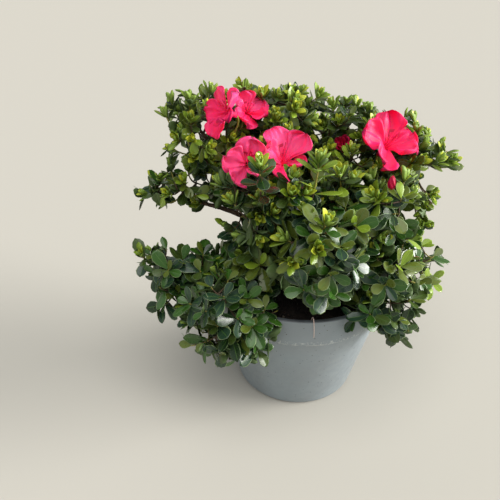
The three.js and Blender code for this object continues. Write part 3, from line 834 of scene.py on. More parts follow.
def within(space, points, spare=0.0, overrun=SPACE_OVERRUN):
    """Which points lie in a mass's ellipsoid and on its side of the parting planes."""
    offsets = points - space.middle
    near = np.linalg.norm(offsets / space.reach, axis=1) <= overrun
    return near & (offsets @ space.ways.T < space.limits + spare).all(axis=1)


def clear(points, half_width):
    """Which points keep off the pot, the limbs and the blooms."""
    beside_pot = np.hypot(points[:, 0], points[:, 1]) > POT_RIM_RADIUS + CLEAR_OF_POT
    above_pot = points[:, 2] > POT_HEIGHT + CLEAR_OF_POT
    distances = np.linalg.norm(points[:, None] - limb_points[None], axis=2)
    off_limbs = (distances > limb_radii + half_width + CLEAR_OF_LIMBS).all(axis=1)
    off_blooms = np.ones(len(points), bool)
    for bloom in BLOOMS:
        middle = np.array(bloom.throat) + unit(np.array(bloom.facing)) * BLOOM_MIDDLE * bloom.width
        off_blooms &= np.linalg.norm(points - middle, axis=1) > BLOOM_ROOM * bloom.width
    return (beside_pot | above_pot) & off_limbs & off_blooms


# %% Twigs of the first order, as in the solids
FACE_FOR_A_TWIG = 980
TWIG_REACH = (0.48, 0.64)
TWIG_FEET = (0.12, 0.9)
TESTED_FROM, TESTS = 0.2, 7
TWIG_ROOM = 2.1


def golden_spread(space, count, seed, reach_of):
    """Points spread evenly round a space, each at its own share of the way out."""
    k = np.arange(count)
    height = 1 - 2 * (k + 0.5) / count
    ring = np.sqrt(1 - height**2)
    turn = k * GOLDEN_ANGLE + seed
    directions = np.stack([ring * np.cos(turn), ring * np.sin(turn), height], axis=1)
    return space.middle + directions * space.reach * np.array([reach_of() for _ in k])[:, None]


def face_of(space):
    """A measure of the surface of a space, by which its twigs are counted."""
    a, b, c = space.reach
    return a * b + b * c + c * a


def main_twigs(name, seed):
    """The feet and tips of the twigs that leave the stem of a mass."""
    space = spaces[name]
    numbers = stream(seed)
    count = round(face_of(space) / FACE_FOR_A_TWIG)
    tips = golden_spread(space, count, seed, lambda: between(TWIG_REACH, next(numbers)))
    guides = inner_stem(name)
    along = (tips - guides[0]) @ (guides[3] - guides[0])
    tips = tips[np.argsort(along)]
    feet = bezier(guides, between(TWIG_FEET, np.arange(count) / (count - 1)))
    twigs = []
    for foot, tip in zip(feet, tips):
        tests = foot + (tip - foot) * np.linspace(TESTED_FROM, 1, TESTS)[:, None]
        if (within(space, tests) & clear(tests, TWIG_ROOM)).all():
            twigs.append((foot, tip))
    return twigs


# %% Leaders, and where leaves are larger
LEADERS = {
    "crown_left": [
        (166, 116, -4), (172, 103, 6), (190, 100, 0), (210, 92, 4), (174, 149, -14), (184, 133, -10),
    ],
    "crown_top": [
        (242, 88, 10), (262, 97, 10), (289, 95, 20), (299, 93, 20), (318, 96, 18), (275, 116, -10),
    ],
    "crown_right": [(357, 106, 14), (370, 112, 14), (332, 107, 12)],
    "shoulder_right": [
        (404, 117, 4), (415, 121, 2), (427, 138, 0), (440, 153, -2), (450, 163, -4), (431, 193, -12),
        (420, 208, -18), (424, 224, -22),
    ],
    "low_right": [(437, 257, -36), (431, 281, -46), (422, 296, -50)],
    "low_right_front": [(406, 318, -75), (398, 334, -88), (384, 325, -96), (370, 314, -104)],
    "arm_left": [(148, 194, -14), (154, 180, -10), (170, 166, -12), (166, 203, -18), (188, 171, -10)],
    "heart_left": [(227, 227, -48)],
    "low_left": [(142, 256, -44), (154, 252, -36), (162, 306, -70), (160, 284, -62)],
    "low_left_front": [
        (190, 321, -90), (207, 341, -98), (236, 338, -104), (258, 349, -108), (228, 352, -102),
    ],
    "skirt_front": [(319, 163, -75), (326, 224, -104)],
    "breast_left": [(291, 195, -80), (304, 194, -78), (260, 168, -96), (292, 178, -72)],
    "breast_right": [(340, 176, -60), (380, 201, -70)],
}
INNER_LEADERS = {
    "low_back_left": [(-72, 28, 158), (-60, 14, 150), (-66, 20, 172)],
    "low_back_right": [(84, 24, 156), (76, 12, 148), (88, 22, 170)],
    "back_left": [(-72, 30, 222), (-66, 24, 198), (-84, 30, 206)],
    "back_right": [(76, 28, 204), (88, 30, 188), (70, 24, 182)],
}
LARGE_LEAVED = {
    "breast_left": 1.2, "breast_right": 1.25, "skirt_front": 1.32, "skirt_right": 1.25, "heart_left": 1.2,
}
USUAL_LEAF = 1.08


def leader_tips(name):
    """Where the leaders of a mass end: some by the pixel where they show, others by their place."""
    outer = [place_seen(*seen) for seen in LEADERS.get(name, ())]
    return outer + [*np.array(INNER_LEADERS.get(name, ()), float)]


def leaf_scale(name):
    """How large the leaves of a mass are. Its shoots stand apart by the same rule."""
    return LARGE_LEAVED.get(name, USUAL_LEAF)


# %% Finer twigs
MAIN_RADII, SHOOT_RADII, LEADER_RADII = (1.3, 0.9), (0.8, 0.55), (0.95, 0.6)
MAIN_JOINTS, SHOOT_JOINTS = (0.4, 0.6, 0.8, 0.97), (0.4, 0.75)
MAIN_UPWARD = 0.25
FACE_FOR_A_SHOOT = 104
SHOOT_REACH, REACH_POWER = (0.55, 0.95), 0.6
SHOOT_SCATTER = 2.5
SHORTEST_SHOOT, SHORTEST_LEADER = 10, 26
SHOOT_ROOM, SHOOT_OFF_SKY, LEAF_ROOM = 1, 3, 12
LOW, HIGH = 140, 270
UPWARD_LOW, UPWARD_HIGH, UPWARD_PLAY = 0.55, 1.0, 0.1
AHEAD, OUTWARD = 0.7, 0.5
TWIG_BEND, TWIG_SLACK = 0.45, 1.04
Twig =namedtuple("Twig", "guides radii length leads")


def share_of_height(point):
    """How high a point lies in the crown, from 0 at the rim of the pot to 1 near the top."""
    return min(1, max(0, (point[2] - LOW) / (HIGH - LOW)))


def grown_twig(foot, tip, way, radii, leads=False):
    """A twig that reaches its tip in a given way."""
    span = np.linalg.norm(tip - foot)
    return Twig([foot, tip - way * TWIG_BEND * span, tip], radii, TWIG_SLACK * span, leads)


def sprung(space, joints, tip, shortest, upward, leads=False):
    """A finer twig to a tip, from the nearest joint that is at least so far away."""
    distances = np.linalg.norm(np.array(joints) - tip, axis=1)
    foot = joints[np.argmin(np.where(distances < shortest, np.inf, distances))]
    out = unit((tip - space.middle) / space.reach)
    way = unit(AHEAD * unit(tip - foot) + OUTWARD * out + upward * UP)
    return grown_twig(foot, tip, way, LEADER_RADII if leads else SHOOT_RADII, leads)


def twigs_of(name, seed):
    """All twigs of a mass: the first ones, the finer ones that spring from them, and the leaders."""
    space = spaces[name]
    numbers = random.Random(100 + seed)
    twigs = []
    for foot, tip in main_twigs(name, seed):
        twigs.append(grown_twig(foot, tip, unit(unit(tip - foot) + UP * MAIN_UPWARD), MAIN_RADII))
    joints = [place for twig in twigs for place in bezier(twig.guides, MAIN_JOINTS)]
    count = round(face_of(space) / (FACE_FOR_A_SHOOT * leaf_scale(name) ** 2))
    reach_of = lambda: between(SHOOT_REACH, numbers.random() ** REACH_POWER)
    tips = golden_spread(space, count, seed + 0.5, reach_of)
    tips += [[numbers.gauss(0, SHOOT_SCATTER) for _ in range(3)] for _ in tips]
    free = within(space, tips, PLANE_OVERRUN) & clear(tips, SHOOT_ROOM) & off_sky(tips, SHOOT_OFF_SKY)
    tips = tips[free]
    tips[:, 1] = np.maximum(tips[:, 1], cad_box[0][1] / MM + LEAF_ROOM)
    for tip in sorted(tips, key=lambda tip: np.linalg.norm((tip - space.middle) / space.reach)):
        upward = between((UPWARD_LOW, UPWARD_HIGH), share_of_height(tip)) + UPWARD_PLAY * numbers.gauss(0, 1)
        twigs.append(sprung(space, joints, tip, SHORTEST_SHOOT, upward))
        joints.extend(bezier(twigs[-1].guides, SHOOT_JOINTS))
    for tip in leader_tips(name):
        twigs.append(sprung(space, joints, tip, SHORTEST_LEADER, UPWARD_HIGH, True))
    return twigs


twigs = {name: twigs_of(name, seed) for seed, name in enumerate(MASSES, 1)}
print(sum(map(len, twigs.values())), "twigs may grow")


# %% [markdown]
# ## One leaf
# A leaf of this azalea is a small glossy spoon: blunt at the tip, with a pale rib, a thin pale margin and
# a duller back. The margin's pale colour is partly its fine hairs and partly a painted highlight along
# the glossy rim. It could be a flat cut-out, but only a curved blade catches light the way a real leaf
# does. So its upper side is a grid of a few faces, shaped to the outline, with strips for rib and margin,
# and its back is a coarser grid that meets it at the edge. Together they close to a thin lens.

# %% Leaf shape
LEAF_ROWS = (0, 0.08, 0.26, 0.48, 0.7, 0.88, 1)
TOP_COLUMNS = (-1, -0.9, -0.035, 0.035, 0.9, 1)
TOP_KINDS = (2, 0, 1, 0, 2)
BACK_COLUMNS = (-1, 0, 1)
BACK_KINDS = (3, 3)
TUFT_ROWS = (0, 0.3, 0.68, 0.9, 1)
LEAF_BODY = 0.35
WELD = 0.001
OUTLINE_POWER = 0.7
RIB_GROOVE, RIB_HALF = 0.3, 0.1
Form = namedtuple("Form", "length width fullness cup curl")


def leaf_point(form, share, side, sink):
    """A point of a leaf. Share runs from its foot to its tip, and side from -1 to 1 across it."""
    half = form.width / 2 * math.sin(math.pi * share**form.fullness) ** OUTLINE_POWER
    height = form.cup * half * side**2 - form.curl * form.length * share**2
    groove = RIB_GROOVE if abs(side) < RIB_HALF else 0
    return Vector((form.length * share, half * side, height - (groove + sink) * min(1, half)))


def leaf_side(bm, form, rows, columns, kinds, sink):
    """One side of a leaf: a grid whose rows and columns are moved to their places on the leaf."""
    counts = {"x_segments": len(rows) - 1, "y_segments": len(columns) - 1}
    grid = bmesh.ops.create_grid(bm, size=0.5, **counts)["verts"]
    faces = {face for vert in grid for face in vert.link_faces}
    for face in faces:
        face.material_index = kinds[int((face.calc_center_median().y + 0.5) * len(kinds))]
    for vert in grid:
        row = round((vert.co.x + 0.5) * (len(rows) - 1))
        column = round((vert.co.y + 0.5) * (len(columns) - 1))
        depth = 0 if abs(columns[column]) == 1 else sink
        vert.co = leaf_point(form, rows[row], columns[column], depth)
    return list(faces)


def leaf_shape(form, rows=LEAF_ROWS, columns=TOP_COLUMNS, kinds=TOP_KINDS):
    """A closed thin leaf with its foot at the origin, its tip along X and its upper side along Z."""
    bm = bmesh.new()
    leaf_side(bm, form, rows, columns, kinds, sink=0)
    back = leaf_side(bm, form, rows, BACK_COLUMNS, BACK_KINDS, sink=LEAF_BODY)
    bmesh.ops.reverse_faces(bm, faces=back)
    bmesh.ops.remove_doubles(bm, verts=bm.verts, dist=WELD)
    return arrays_of(bm)


FORMS = [
    Form(20, 10.8, 1.6, -0.1, 0.10),
    Form(19, 10.1, 1.5, 0.22, 0.03),
    Form(18.5, 9.4, 1.4, -0.18, 0.16),
    Form(17, 10.5, 1.7, 0.12, 0.12),
]
TUFT_FORM = Form(12.2, 5.4, 1.4, 0.45, -0.06)
leaf_shapes = [leaf_shape(form) for form in FORMS]
tuft_shape = leaf_shape(TUFT_FORM, TUFT_ROWS, BACK_COLUMNS, (0, 0))
print("triangles of a leaf:", len(leaf_shapes[0][1]), "and of a tuft leaf:", len(tuft_shape[1]))

# %% Leaf finishes
LEAF_LOOKS = {
    "blade_deep": ((26, 50, 20), (0.22, 0.34), 2.4, 0.04),
    "blade_blue": ((40, 66, 46), (0.22, 0.34), 2.4, 0.04),
    "blade_green": ((52, 90, 26), (0.23, 0.35), 2.4, 0.04),
    "blade_olive": ((92, 106, 36), (0.24, 0.36), 2.4, 0.04),
    "blade_fresh": ((128, 154, 42), (0.24, 0.36), 1.8, 0.04),
    "blade_tuft": ((190, 200, 58), (0.3, 0.42), 1, 0.02),
    "rib": ((78, 112, 46), (0.3, 0.4), 0.8, 0.02),
    "rib_fresh": ((160, 186, 80), (0.4, 0.5), 0.8, 0.02),
    # The pale margin is partly the leaf's fine hairs and partly a painted highlight along its glossy rim.
    "margin": ((130, 150, 102), (0.36, 0.46), 0.8, 0.02),
    "back": ((84, 106, 58), (0.5, 0.65), 0.8, 0.05),
    "back_fresh": ((130, 158, 62), (0.5, 0.65), 0.8, 0.05),
    "blade_old": ((110, 128, 38), (0.3, 0.42), 1.8, 0.05),
    "margin_old": ((158, 84, 40), (0.4, 0.5), 0.8, 0.04),
    # The deep margin is the same hairs and painted highlight, toned down on dark leaves.
    "margin_deep": ((80, 104, 66), (0.3, 0.4), 0.8, 0.02),
    "blade_moss": ((64, 82, 32), (0.23, 0.35), 2.4, 0.04),
}
PARTS_OF_TONE = {
    "deep": ("blade_deep", "rib", "margin_deep", "back"),
    "blue": ("blade_blue", "rib", "margin", "back"),
    "green": ("blade_green", "rib", "margin", "back"),
    "moss": ("blade_moss", "rib", "margin_deep", "back"),
    "olive": ("blade_olive", "rib", "margin", "back"),
    "fresh": ("blade_fresh", "rib_fresh", "rib_fresh", "back_fresh"),
    "tuft": ("blade_tuft", "blade_tuft", "blade_tuft", "back_fresh"),
    "old": ("blade_old", "rib_fresh", "margin_old", "back_fresh"),
}
leaf_materials = [finish(name, *looks) for name, looks in LEAF_LOOKS.items()]
tones = {
    tone: np.array([list(LEAF_LOOKS).index(part) for part in parts])
    for tone, parts in PARTS_OF_TONE.items()
}
print(len(leaf_materials), "finishes for", len(tones), "tones of leaf")


# %% [markdown]
# ## Leaves on their shoots
# Leaves stand in rosettes: each next leaf turns on by the golden angle, the lowest ones lie flat and
# large, and the upper ones stand up smaller. In spring most shoots high in the crown push a tuft of small
# yellow-green leaves from their middle, and fewer do so in the shade below. A leaf that would leave its
# space, touch pot, limb or bloom, or close a line of sight is left out whole.
#
# One green for all leaves would look like plastic, and a colour that changes over a leaf can't be seen
# at this size. So each rosette draws a tone from those of its height, and these tones paint light and
# shade: yellower and lighter in the light of the crown, bluer and darker in the shade below. A few
# leaves draw their own, the innermost are a step lighter, and low on some front shoots an old leaf
# turns yellow with a red margin.

# %% One leaf on its twig
ROOT_STEP = 0.03
Leaf = namedtuple("Leaf", "shape root along face size tone")


def basis_round(way):
    """Two directions across a way, at right angles."""
    upright = abs(way[2]) >= 0.9
    side = unit(np.cross(way, (1, 0, 0) if upright else (0.3, 0.2, 1)))
    return side, np.cross(way, side)


def leaf_on(shape, twig, back, turn, spread, size, tone, sky):
    """A leaf that leaves a twig some way back from its tip. Sky is how far its face turns upwards."""
    share = 1 - back / twig.length
    before, root, after = bezier(twig.guides, (share - ROOT_STEP, share, share + ROOT_STEP))
    way = unit(after - before)
    side, other = basis_round(way)
    radial = side * math.cos(turn) + other * math.sin(turn)
    along = unit(way * math.cos(spread) + radial * math.sin(spread))
    face = way + UP * sky
    face = unit(face - along * (face @ along))
    return Leaf(shape, root, along, face, size, tone)


# %% Tufts and rosettes
TUFT_LEAVES, TUFT_STEP, TUFT_STEM = (4, 9), 0.4, 5
TUFT_SPREAD, TUFT_SPREAD_PLAY = (8, 50), 6
TUFT_SIZES, TUFT_SIZE_PLAY = (0.75, 1.05), (0.85, 1.15)
TUFT_PALE = (0.2, 0.7)
ROSETTE, ROSETTE_STEP, ROSETTE_STEP_MORE = (5, 8), 0.35, 0.1
LEAVES_BELOW, STEPS_BELOW, LEAVES_ON_LEADER = (2, 4), (3, 6), 4
BARE_FROM = 0.8
LEAF_SPREAD, LEAF_SPREAD_BELOW, LEAF_SPREAD_PLAY = (38, 60), (20, 4), 8
LEAF_SIZES, LEAF_SIZE_PLAY = (0.66, 1), (0.85, 1.12)
LEAF_SKY = 0.35
TURN_PLAY = 0.15
LARGE_LOW, LARGE_HIGH = 1.12, 0.85
OTHER_TONE_SHARE = 0.25
LIGHTER_LEAVES = 2
LIGHTER = {
    "deep": "green",
    "blue": "green",
    "green": "olive",
    "moss": "olive",
    "olive": "fresh",
    "fresh": "fresh",
}


def tuft(twig, numbers, turn, scale):
    """The small young leaves at a tip: pale ones that stand up, within fresh green ones that open."""
    leaves = []
    high = share_of_height(twig.guides[-1])
    count = round(between(TUFT_LEAVES, high)) + numbers.randint(0, 1)
    for k in range(count):
        outer = k / (count - 1)
        spread = between(TUFT_SPREAD, outer) + numbers.uniform(-TUFT_SPREAD_PLAY, TUFT_SPREAD_PLAY)
        size = scale * between(TUFT_SIZES, outer) * numbers.uniform(*TUFT_SIZE_PLAY)
        tone = "tuft" if k < count * between(TUFT_PALE, high) else "fresh"
        leaves.append(leaf_on(tuft_shape, twig, TUFT_STEP * k, turn, math.radians(spread), size, tone, 0))
        turn += GOLDEN_ANGLE
    return leaves


def rosette(twig, numbers, tones, tufted, scale, old_share):
    """The leaves of one twig: a tuft if it has one, a close rosette, and a few leaves further down."""
    turn = numbers.uniform(0, TURN)
    leaves = tuft(twig, numbers, turn, scale) if tufted else []
    back = TUFT_STEM if tufted else 0
    close = numbers.randint(*ROSETTE)
    high = share_of_height(twig.guides[-1])
    tone = numbers.choice(tones)
    scale *= between((LARGE_LOW, LARGE_HIGH), high)
    for k in range(close + numbers.randint(*LEAVES_BELOW) + (LEAVES_ON_LEADER if twig.leads else 0)):
        outer = min(1, k / (close - 1))
        back += ROSETTE_STEP + ROSETTE_STEP_MORE * k if k < close else numbers.uniform(*STEPS_BELOW)
        if back > BARE_FROM * twig.length:
            break
        spread = between(LEAF_SPREAD, outer) + between(LEAF_SPREAD_BELOW, high) * outer
        spread += numbers.uniform(-LEAF_SPREAD_PLAY, LEAF_SPREAD_PLAY)
        size = scale * between(LEAF_SIZES, outer) * numbers.uniform(*LEAF_SIZE_PLAY)
        own = numbers.choice(tones) if numbers.random() < OTHER_TONE_SHARE else tone
        if k < LIGHTER_LEAVES and not tufted:
            own = LIGHTER[own]
        if k >= close and numbers.random() < old_share:
            own = "old"
        shape = numbers.choice(leaf_shapes)
        leaves.append(leaf_on(shape, twig, back, turn, math.radians(spread), size, own, LEAF_SKY))
        turn += GOLDEN_ANGLE + numbers.uniform(-TURN_PLAY, TURN_PLAY)
    return leaves


# %% All rosettes of a mass
LEAF_OFF_SKY = 2
LEAF_TESTS = ((0.5, 2), (0.98, 0))
SKY_TESTS = (0.2, 0.5, 0.8, 1)
TUFT_SHARE_LOW, TUFT_SHARE_HIGH, TUFT_RISE = 0.05, 0.9, 2.2
TUFTED_LEADER_FROM = 172
TOP_FROM, MIDDLE_FROM = 248, 185
# The tones by height are painted light and shade: lighter, yellower ones in the lit crown and darker, bluer
# ones in the shade lower down.
TOP_TONES = ("deep", "moss", "moss", "olive", "olive", "fresh")
MIDDLE_TONES = ("deep", "blue", "green", "green", "olive")
LOW_TONES = ("deep", "blue", "blue", "green", "moss")
# Some masses draw their own tones. The lighter ones of the left arm are painted light, as that arm lies in
# the shade of the lamps.
OWN_TONES = {
    "shoulder_right": TOP_TONES,
    "low_right": ("deep", "green", "moss", "olive", "fresh"),
    "arm_left": ("blue", "green", "moss", "olive", "olive"),
    "heart_left": ("blue", "green", "moss", "olive"),
    "breast_left": ("deep", "blue", "green", "moss"),
}
OLD_SHARES = {"skirt_front": 0.05, "skirt_right": 0.05, "low_back_right": 0.04}


def placed(leaf):
    """A copy of a leaf's shape at its place, with its kinds changed to the materials of its tone."""
    points, faces, kinds = leaf.shape
    axes = np.stack([leaf.along, np.cross(leaf.face, leaf.along), leaf.face]) * leaf.size
    return points @ axes + leaf.root, faces, tones[leaf.tone][kinds]


def leaves_of(name, seed):
    """Every leaf that a mass has room for, each with the number of its twig."""
    space = spaces[name]
    numbers = random.Random(500 + seed)
    leaves, bearers = [], []
    for number, twig in enumerate(twigs[name]):
        height = twig.guides[-1][2]
        tufts = between((TUFT_SHARE_LOW, TUFT_SHARE_HIGH), share_of_height(twig.guides[-1]) ** TUFT_RISE)
        usual = TOP_TONES if height > TOP_FROM else MIDDLE_TONES if height > MIDDLE_FROM else LOW_TONES
        drawn = OWN_TONES.get(name, usual)
        tufted = numbers.random() < tufts or (twig.leads and height > TUFTED_LEADER_FROM)
        leaves += rosette(twig, numbers, drawn, tufted, leaf_scale(name), OLD_SHARES.get(name, 0))
        bearers += [number] * (len(leaves) - len(bearers))
    lengths = np.array([leaf.shape[0][:, 0].max() * leaf.size for leaf in leaves])[:, None]
    roots = np.array([leaf.root for leaf in leaves])
    alongs = np.array([leaf.along for leaf in leaves])
    good = np.ones(len(leaves), bool)
    leading = np.array([twigs[name][number].leads for number in bearers])
    for share, half_width in LEAF_TESTS:
        points = roots + alongs * lengths * share
        inside = within(space, points, LEAF_PLANE_OVERRUN, LEAF_OVERRUN) | leading
        good &= inside & clear(points, half_width)
    for share in SKY_TESTS:
        good &= off_sky(roots + alongs * lengths * share, LEAF_OFF_SKY)
    return [(leaf, number) for leaf, number, kept in zip(leaves, bearers, good) if kept]


GROUPS = {
    "leaves_crown": ("crown_left", "crown_top", "crown_right", "shoulder_right"),
    "leaves_front": ("arm_left", "breast_left", "breast_right", "heart_left", "skirt_front"),
    "leaves_low": ("low_left", "low_left_front", "low_right", "skirt_right", "low_right_front"),
    "leaves_back": ("back_left", "back_middle", "back_right", "low_back_left", "low_back_right"),
}
foliage = {name: leaves_of(name, seed) for seed, name in enumerate(MASSES, 1)}
for group, names in GROUPS.items():
    copies = [placed(leaf) for name in names for leaf, _ in foliage[name]]
    print(group, "has", len(copies), "leaves")
    nodes = ["foliage_" + name for name in names]
    add_piece(group, joined_mesh(group, copies), leaf_materials, nodes)


# %% [markdown]
# ## The twigs that show
# A twig whose leaves all had to go would stand out as a bare spike, and a healthy plant has none. So the
# twigs are made last, when their leaves are known. Each is the same short rod, bent along its curve, brown
# at its foot and green near its tip. The blooms and the bud get green stalks that widen to a calyx, and a
# pale fibre from the soil hangs over the rim of the pot.

# %% Which twigs bear leaves
FEWEST_LEAVES = 3
TOUCHING = 0.01
ANY_JOINT = sorted({*MAIN_JOINTS, *SHOOT_JOINTS})


def bearing(name):
    """The twigs of a mass that bear leaves, or carry a twig that does."""
    counts = np.bincount([number for _, number in foliage[name]], minlength=len(twigs[name]))
    kept, feet = [], []
    for twig, count in reversed(list(zip(twigs[name], counts))):
        joints = bezier(twig.guides, ANY_JOINT)
        carries = any(np.linalg.norm(joints - foot, axis=1).min() < TOUCHING for foot in feet)
        if count >= FEWEST_LEAVES or carries:
            kept.append(twig)
            feet.append(twig.guides[0])
    return kept


twigs = {name: bearing(name) for name in MASSES}
print(sum(map(len, twigs.values())), "twigs grow")

# %% Stalks
FOOT_BEHIND_THROAT = 0.136
STALK_RADIUS, STALK_BEND, STALK_END = 0.8, 8, 2
CALYX, CALYX_FROM = 1.4, 0.75
WOODY, YOUNG, PALE = 0, 1, 2
twig_rod = rod(5, 5)


def bloom_foot(bloom):
    """Where the tube of a bloom starts, and the way that it faces."""
    facing = unit(np.array(bloom.facing))
    return np.array(bloom.throat) - facing * FOOT_BEHIND_THROAT * bloom.width, facing


def calyx_radius(shares):
    """The radius of a stalk, which widens to a calyx near its end."""
    return STALK_RADIUS + CALYX * np.maximum(0, shares - CALYX_FROM) / (1 - CALYX_FROM)


def stalk_to(foot, facing):
    """A green stalk from the nearest twig to the foot of a bloom or bud."""
    places = np.concatenate([bezier(twig.guides, MAIN_JOINTS) for grown in twigs.values() for twig in grown])
    start = places[np.argmin(np.linalg.norm(places - foot, axis=1))]
    guides = [start, foot - facing * STALK_BEND, foot + facing * STALK_END]
    return bent(twig_rod, guides, calyx_radius, one_kind(YOUNG))


# %% Twig piece
YOUNG_FROM = 0.75
FIBRE = [(3, -84, 122), (4, -90, 152), (4.5, -103, 140), (6, -94.4, 118)]
FIBRE_RADII = (0.5, 0.3)


def made_twig(twig):
    """A twig's rod, with its young part at the tip, which is longer on a leader."""
    young_from = YOUNG_FROM / 2 if twig.leads else YOUNG_FROM
    kinds = lambda shares: np.where(shares > young_from, YOUNG, WOODY)
    return bent(twig_rod, twig.guides, taper(*twig.radii), kinds)


twig_wood = finish("twig_wood", (78, 60, 40), (0.55, 0.8), grain=0.5, depth=0.1)
twig_young = finish("twig_young", (136, 128, 54), (0.4, 0.6), grain=0.5, depth=0.05)
root_pale = finish("root_pale", (226, 200, 188), (0.6, 0.8), grain=0.5, depth=0.05)
twig_copies = [made_twig(twig) for grown in twigs.values() for twig in grown]
twig_copies += [stalk_to(*bloom_foot(bloom)) for bloom in BLOOMS]
twig_copies.append(stalk_to(np.array(BUD), UP))
twig_copies.append(bent(rod(5, 16), FIBRE, taper(*FIBRE_RADII), one_kind(PALE)))
add_piece("twigs", joined_mesh("twigs", twig_copies), [twig_wood, twig_young, root_pale])


# %% [markdown]
# ## Blossom
# A bloom is a short tube that opens to five broad lobes. They overlap like tiles, their edges wave, and
# the upper one is freckled near the throat. One sheet rolled into a funnel would leave gaps between the
# lobes, so each lobe is a sheet of its own. A grid is laid along a spine that climbs the tube and then
# leans outwards, and each lobe leans by its own angle, so some blooms gape and others stay cupped. A copy
# of the sheet, pushed back except at its rim, closes it to a thin lens. Five stamens with round anthers
# and one longer style stand in the throat, and one bud is still closed, with the edges of its rolled
# lobes as furrows.

# %% The form of a lobe
PETAL_ALONG, PETAL_ACROSS = 18, 20
PETAL_LENGTH, PETAL_WIDTH, PETAL_BODY = 0.68, 0.58, 0.5
ROW_CROWDING = 1.4
THROAT_RADIUS = 1.8
TUBE_SHARE, LEANT_SHARE = 0.14, 0.55
END_CURL, END_CURL_FROM = 0.3, 0.75
FUSED_SHARE, PARTING_SHARE = 0.38, 0.35
MEETING = (0.66, 0.95)
BROAD_SHARE, END_ROUNDNESS = 0.66, 2.4
LOOSE_FROM, LOOSENING, FOLDING = 0.3, 0.5, 0.6
RIPPLE, RUFFLE, CREASE, VEIN, TILE = 0.1, 0.045, 0.05, 0.01, 0.06


def eased(share):
    """A share from 0 to 1 that starts and ends gently."""
    share = min(1, max(0, share))
    return share * share * (3 - 2 * share)


def row_share(even):
    """How far along a lobe a row lies. The rows crowd together towards its rim."""
    return 1 - (1 - even) ** ROW_CROWDING


def petal_spine(length, lean):
    """The rows of a lobe: each one's share of the length, its place out and up, and its lean."""
    rows, out, up, before = [], THROAT_RADIUS, 0.0, 0.0
    for step in range(PETAL_ALONG + 1):
        share = row_share(step / PETAL_ALONG)
        leant = eased((share - TUBE_SHARE) / (LEANT_SHARE - TUBE_SHARE))
        angle = lean * (leant + END_CURL * max(0, share - END_CURL_FROM))
        out += math.sin(angle) * (share - before) * length
        up += math.cos(angle) * (share - before) * length
        rows.append((share, out, up, angle))
        before = share
    return rows


def petal_half(width, share, out):
    """Half the width of a lobe. Low down lobes only meet, further out they overlap, and all end round."""
    meeting = out * between(MEETING, eased((share - FUSED_SHARE) / PARTING_SHARE))
    ending = max(0, (share - BROAD_SHARE) / (1 - BROAD_SHARE)) ** END_ROUNDNESS
    return min(meeting, PETAL_WIDTH / 2 * width) * math.sqrt(max(0, 1 - ending))


def petal_wave(share, side, seed):
    """How far a lobe waves off its plain curve, as a share of the bloom's width."""
    loose = eased((share - LOOSE_FROM) / LOOSENING)
    rim = max(side**2, share**6)
    wave = RIPPLE * noise.noise((side * 1.3, share * 2, seed)) + TILE * side
    wave += RUFFLE * noise.noise((side * 4, share * 5, seed + 3)) * 2 * rim
    creases = CREASE * noise.noise((side * 3.2, share * 0.7, seed + 7))
    veins = VEIN * noise.noise((side * 11, share, seed))
    return wave * loose + (creases + veins) * eased(share / FOLDING)


# %% One lobe
FRECKLED_LOBE = 1
FRECKLES_FROM, FRECKLES_TO, FRECKLES_SIDE = 0.2, 0.62, 0.62
FRECKLES_LEFT_OUT = 0.02
THROAT_TO = 0.26
# The throat's darker tone is painted shade deep in the funnel.
THROAT_SHADE_TONE, FRECKLE_TONE = 2, 3
FLATTER_OUTWARDS = 0.6


def lobe_tone(share, side, own, freckled, seed):
    """The tone at a place of a lobe: freckles if it bears them, a throat darkened by painted shade, and then
    its own tone, which paints light or shade.
    """
    near_throat = FRECKLES_FROM < share < FRECKLES_TO and abs(side) < FRECKLES_SIDE
    if freckled and near_throat and noise.noise((side * 6, share * 7, seed)) > FRECKLES_LEFT_OUT:
        return FRECKLE_TONE
    return THROAT_SHADE_TONE if share < THROAT_TO else own


def petal_sheet(width, length, lean, tone, freckled, seed):
    """One lobe of a bloom that faces up, leaning out along X."""
    bm = bmesh.new()
    bmesh.ops.create_grid(bm, x_segments=PETAL_ALONG, y_segments=PETAL_ACROSS, size=0.5)
    rows = petal_spine(PETAL_LENGTH * width * length, lean)
    for face in bm.faces:
        along, side, _ = face.calc_center_median() * 2
        face.material_index = lobe_tone(row_share(0.5 + along / 2), side, tone, freckled, seed)
    for vert in bm.verts:
        share, out, up, angle = rows[round((vert.co.x + 0.5) * PETAL_ALONG)]
        side = vert.co.y * 2
        rounding = out * (1 + FLATTER_OUTWARDS * share)
        turn = side * petal_half(width, share, out) / rounding
        push = width * petal_wave(share, side, seed) - rounding * (1 - math.cos(turn))
        vert.co = (out + push * math.cos(angle), rounding * math.sin(turn), up - push * math.sin(angle))
    bmesh.ops.remove_doubles(bm, verts=bm.verts, dist=WELD)
    close_sheet(bm)
    return bm


def close_sheet(bm):
    """Gives a sheet a back that meets it at its rim, so that it closes to a thin lens."""
    bm.normal_update()
    made = bmesh.ops.duplicate(bm, geom=bm.verts[:] + bm.edges[:] + bm.faces[:])["geom"]
    for part in made:
        if isinstance(part, bmesh.types.BMVert) and not part.is_boundary:
            part.co -= part.normal * PETAL_BODY
    bmesh.ops.reverse_faces(bm, faces=[part for part in made if isinstance(part, bmesh.types.BMFace)])
    bmesh.ops.remove_doubles(bm, verts=bm.verts, dist=WELD)


# %% Stamens
STAMENS = 5
STAMEN_LENGTH, STAMEN_PLAY, STYLE_LENGTH = 0.38, 0.04, 0.52
STAMEN_OUT, STYLE_OUT, STAMEN_BEND = 0.3, 0.12, 0.6
STAMEN_RADII, ANTHER_RADIUS = (0.36, 0.24), 0.7
STAMEN_TONE, ANTHER_TONE = 1, 2
stamen_rod = rod(4, 6)


